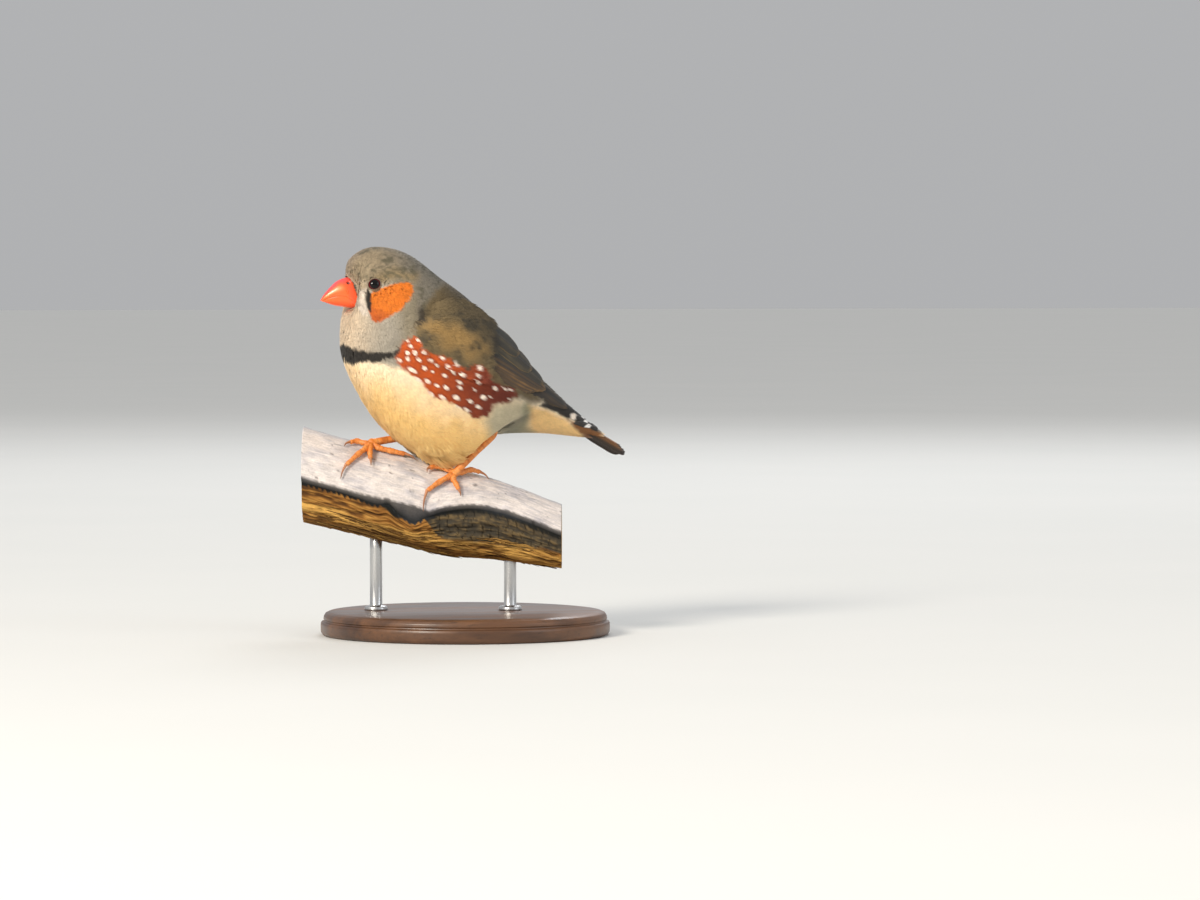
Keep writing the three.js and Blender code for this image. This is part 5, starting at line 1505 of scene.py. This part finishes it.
legTones = {"skin": tone(228, 138, 62), "light": tone(246, 176, 100), "dark": tone(164, 84, 34),
            "claw": tone(190, 124, 78), "clawTip": tone(124, 86, 64)}


def scutes(count, height):  # overlapping plates on the upper side, soft folds beneath
    def relief(share, turnRound):
        saw = (share * count) % 1
        upper = np.clip(np.cos(turnRound), 0, 1) ** 0.5
        folds = np.abs(np.sin(share * count * 0.5 * math.pi)) * np.clip(-np.cos(turnRound), 0, 1)
        return height * (upper * (saw - 0.5) + 0.9 * (folds - 0.4))
    return relief


def limbPart(points, faces, rows, columns, cell, plates=0):
    points = points + column(0.03 * noiseAt(points, 0.5)) * (0, 0, 1)
    shade = noiseAt(points, 0.8)
    colour = lay(legTones["skin"], legTones["light"], smooth(shade, 0.1, 0.9) * 0.6)
    colour = lay(colour, legTones["dark"], smooth(-shade, 0.1, 0.9) * 0.5)
    share = np.append(np.repeat(np.linspace(0, 1, rows), columns), [0, 0]) * plates % 1
    colour = lay(colour, legTones["dark"], 0.55 * bell(share, 0, 0.16) * (plates > 0))
    return points, faces, {"marking": colour}, {"OFBake": tubeMap(rows, columns, 0.995, cell, 6)}


def toeSize(t):  # thinner towards the claw, thicker at its joints, closed at its end
    knuckles = limbSizes["toe"] * (1.08 - 0.36 * t) * (1 + 0.1 * np.cos(t * 6 * math.pi))
    return knuckles * np.sqrt(np.clip(1 - np.clip((t - 0.93) / 0.07, 0, 1) ** 2, 0.15, 1))


def clawSize(t):
    return blendOf(limbSizes["clawRoot"], limbSizes["clawTip"], t**0.8)


def intoBody(side):  # the way from the heel forward and up under the feathers
    return unit(np.array((-0.6, 0.3 * sides[side], 0.75)))


def buildLeg(side):
    leg, low = legs[side], side.lower()
    palm = overStalk(leg["root"])
    heel = np.array(leg["heel"])
    shank = unit(heel - palm)
    rows, columns = 90, 22
    line = [heel + intoBody(side) * 3, heel, (heel + palm) / 2, palm + 0.2 * shank]
    size = limbSizes["tarsus"]
    points, faces = limb(line, lambda t: size * (1.3 - 0.36 * smooth(t, 0.1, 0.5)), columns, rows, (0, 1, 0),
                         scutes(13, 0.1))
    parts = [limbPart(points, faces, rows, columns, 0, 13)]
    rows = 24
    angle = np.linspace(0, math.pi, rows)
    points, faces = limb([palm + (0, 0, 1.25), palm - (0, 0, 1.15)],
                         lambda t: limbSizes["palm"] * np.sin(angle) ** 0.6 + 0.05, columns, rows, (0, 1, 0))
    parts.append(limbPart(points, faces, rows, columns, 1))
    rows, columns = 64, 20
    for k, (name, places) in enumerate(leg["toes"].items()):
        line = np.array([palm] + [overStalk(place) for place in places])
        points, faces = limb(line[:4], toeSize, columns, rows, (0, 0, 1), scutes(11, 0.13))
        parts.append(limbPart(points, faces, rows, columns, 2 + k, 11))
        way = unit(line[4] - line[3])
        start = line[3] - 0.35 * way
        middle = blendOf(start, line[4], 0.5) + unit(line[3] - line[2]) * 0.4 + (0, 0, 0.25)
        clawRows, clawColumns = 28, 16
        points, faces = limb([start, middle, line[4]], clawSize, clawColumns, clawRows)
        share = np.append(np.repeat(np.linspace(0, 1, clawRows), clawColumns), [0, 1])
        colour = lay(legTones["claw"], legTones["clawTip"], share)
        buildPiece(f"claw{side}{name.title()}", points, faces, {"marking": colour},
                   {"OFBake": tubeMap(clawRows, clawColumns, 0.995)}, clawHorn, "claw", f"claw_{low}_{name}")
    buildPiece(f"leg{side}", *joinParts(parts), bareSkin, "leg_skin", f"tarsus_{low}", f"foot_{low}")


thigh = {"along": (0.0, 1.0), "around": (0, 2 * halfTurn), "spacing": 0.6, "barbs": 7, "width": 0.45,
         "length": 1.3, "tone": blendOf(marks["bellyLow"], marks["thigh"], 0.6)}


def growThigh(side):  # short feathers over the top of the leg
    leg = legs[side]
    heel = np.array(leg["heel"])
    shank = unit(heel - overStalk(leg["root"]))
    aside = unit(np.cross(shank, (0, 1, 0)))
    ahead = np.cross(shank, aside)

    def chart(along, around, grow):
        radius = 1.25 + 1.5 * smooth(along, -0.2, 0.3) * (1 - smooth(along, 0.2, 1.0)) + grow
        way = column(np.cos(around)) * aside + column(np.sin(around)) * ahead
        home = heel + column(3.6 * (1 - along) ** 1.5) * intoBody(side) + column(0.4 - 1.1 * along) * shank
        return home + column(radius) * way

    draw = np.random.default_rng(leg["seed"])
    along, around = tuftPlaces(thigh, chart, draw)
    plain = np.ones(len(along))
    length = thigh["length"] * (0.8 + 0.4 * draw.random(len(along)))
    heights = -0.4 * plain, -0.1 * plain, -0.1 * plain
    growTufts("coatThigh" + side, thigh, chart, (along, around), (plain, 0 * plain), heights, length, draw,
              lambda points: thigh["tone"] + 0 * points)


clawHorn = makeFinish("clawHorn")[0]
for build in (buildLeg, growThigh):
    for side in sides:
        build(side)
print("legs built")


# Stand

stand = {
    "baseHeight": 7.0, "rodRadius": 1.8, "rodSink": 5.0,
    "rods": {"rodFront": (-26, "stand_rod_front"), "rodBack": (13, "stand_rod_back")},
    "baseProfile": [(0, 0.0), (40.6, 0.0), (41.4, 0.25), (41.9, 0.9), (42.0, 1.6), (42.0, 3.4), (41.8, 3.9),
                    (41.0, 4.15), (40.9, 4.5), (41.2, 4.8), (41.1, 5.6), (40.6, 6.4), (39.6, 6.85),
                    (38.2, 7.0), (20.0, 7.0), (0, 7.0)],  # distance from the axis and height
    "woodDark": tone(66, 42, 26), "woodLight": tone(112, 74, 44), "pores": tone(40, 26, 17),
    "steel": [(0.5, 0.5, 0.5), (0.68, 0.68, 0.67)],
}


def turned(profile, columns, centre):  # a profile of distance and height turned about an upright axis
    angle = anglesRound(columns)
    profile = [(max(r, 0.02), z) for r, z in profile]
    rings = [np.stack([r * np.cos(angle), r * np.sin(angle), 0 * angle + z], axis=1) for r, z in profile]
    points, faces = closedTube(np.array(rings) + centre)
    return points, outwards(points, faces)


def finer(profile, steps):  # more points along a profile, corners kept
    profile = np.array(profile, float)
    shares = np.linspace(0, 1, steps, endpoint=False)
    points = [a + (b - a) * s for a, b in zip(profile[:-1], profile[1:]) for s in shares]
    return np.vstack([points, profile[-1:]])


def buildTurned(name, profile, steps, columns, centre, material, slot, node):
    profile = finer(profile, steps)
    points, faces = turned(profile, columns, centre)
    buildPiece(name, points, faces, {}, {"OFBake": tubeMap(len(profile), columns, 0.5)}, material, slot, node)


def buildStand():
    buildTurned("standBase", stand["baseProfile"], 4, 160, (0, 0, 0), makeStandWood(), "stand_wood",
                "stand_base")
    metal = makeStandMetal()
    r, base = stand["rodRadius"], stand["baseHeight"]
    for name, (along, node) in stand["rods"].items():
        top = stalkAt(along)[2] + stand["rodSink"]
        profile = [(0, base), (r + 1.5, base), (r + 1.6, base + 0.3), (r + 1.5, base + 1.0),
                   (r + 1.1, base + 1.3), (r + 0.1, base + 1.45), (r, base + 1.7), (r, top - 0.2), (0, top)]
        centre = onStalk(np.array(float(along)), perch["middle"], np.array(0.0))
        buildTurned(name, profile, 3, 48, centre, metal, "stand_metal", node)


def makeStandWood():
    material, tree, shader = newMaterial("turnedWood", {"Coat Weight": 0.25, "Coat Roughness": 0.25})
    place = objectPlace(tree)
    grain = noiseNode(tree, place, 120, 6.0, 0.6, (0.12, 1.0, 1.0))
    pores = noiseNode(tree, place, 900, 3.0, 0.7, (0.06, 1.0, 1.0))
    colour = mixNode(tree, rangeNode(tree, grain, 0.32, 0.68), stand["woodDark"], stand["woodLight"])
    dark = rangeNode(tree, pores, 0.55, 0.75, 0.0, 0.6)
    tree.links.new(mixNode(tree, dark, colour, stand["pores"]), shader["Base Color"])
    tree.links.new(rangeNode(tree, grain, 0.3, 0.7, 0.34, 0.5), shader["Roughness"])
    addBump(tree, shader, pores, 0.04, 0.4)
    return material


def makeStandMetal():
    material, tree, shader = newMaterial("brushedSteel", {"Metallic": 1.0})
    brush = noiseNode(tree, objectPlace(tree), 1500, 3.0, 0.6, (1.0, 1.0, 0.05))
    tree.links.new(mixNode(tree, brush, *stand["steel"]), shader["Base Color"])
    tree.links.new(rangeNode(tree, brush, 0.3, 0.7, 0.22, 0.4), shader["Roughness"])
    addBump(tree, shader, brush, 0.02, 0.3)
    return material


buildStand()
print("stand built")


# Camera, light and floor

view = {"aim": (37.8, -10.1, 53.65), "distance": 1500, "lens": 155, "sensor": 36, "azimuth": turnOfView,
        "elevation": math.radians(2), "clip": (0.05, 20)}
ground = {"reach": 12000, "tones": [(0.74, 0.74, 0.71), (0.78, 0.77, 0.74)]}
lightAim = (0, 0, 0.07)
lights = {  # place and size in metres, power and colour
    "keyLight": ((-1.35, -1.1, 0.95), 0.6, 34, (1.0, 0.93, 0.82)),
    "fillLight": ((1.3, -1.0, 0.7), 1.0, 4, (0.9, 0.95, 1.0)),
    "backLight": ((0.6, 1.3, 1.2), 0.8, 8, (0.95, 0.97, 1.0)),
}


def addCamera():
    data = bpy.data.cameras.new("photoView")
    data.lens = view["lens"]
    data.sensor_width = view["sensor"]
    data.clip_start, data.clip_end = view["clip"]
    camera = bpy.data.objects.new("photoView", data)
    bpy.context.scene.collection.objects.link(camera)
    a, e = view["azimuth"], view["elevation"]
    back = Vector((math.sin(a) * math.cos(e), -math.cos(a) * math.cos(e), math.sin(e)))
    camera.location = (Vector(view["aim"]) + back * view["distance"]) * millimetre
    camera.rotation_euler = (-back).to_track_quat("-Z", "Y").to_euler()
    bpy.context.scene.camera = camera


def addLight(name, place, size, power, colour):  # soft and round, and turned to the bird
    data = bpy.data.lights.new(name, "AREA")
    data.shape = "DISK"
    data.size = size
    data.energy = power
    data.color = colour
    light = bpy.data.objects.new(name, data)
    bpy.context.scene.collection.objects.link(light)
    light.location = place
    light.rotation_euler = (Vector(lightAim) - Vector(place)).to_track_quat("-Z", "Y").to_euler()


def addFloor():
    material, tree, shader = newMaterial("paleFloor", {"Roughness": 0.9})
    tint = mixNode(tree, noiseNode(tree, objectPlace(tree), 6.0, 2.0), *ground["tones"])
    tree.links.new(tint, shader["Base Color"])
    points = ground["reach"] * np.array([(-1, -1, 0), (1, -1, 0), (1, 1, 0), (-1, 1, 0)], float)
    floor = bpy.data.objects.new("floor", makeMesh("floor", points, np.array([(0, 1, 2, 3)]), {}, {}))
    floor.data.materials.append(material)
    bpy.context.scene.collection.objects.link(floor)


def addWorld():  # brighter overhead, and as bright as the far floor where they meet
    world = bpy.data.worlds.new("softStudio")
    world.use_nodes = True
    tree = world.node_tree
    way = tree.nodes.new("ShaderNodeSeparateXYZ")
    tree.links.new(tree.nodes.new("ShaderNodeTexCoord").outputs["Generated"], way.inputs[0])
    background = tree.nodes["Background"].inputs
    background["Color"].default_value = (0.97, 0.98, 1.0, 1)
    tree.links.new(rangeNode(tree, way.outputs["Z"], 0.0, 0.45, 0.45, 0.62), background["Strength"])
    bpy.context.scene.world = world


addCamera()
addFloor()
addWorld()
for lightName, settings in lights.items():
    addLight(lightName, *settings)
bpy.context.scene.view_settings.view_transform = "Standard"
print("camera and lights set")
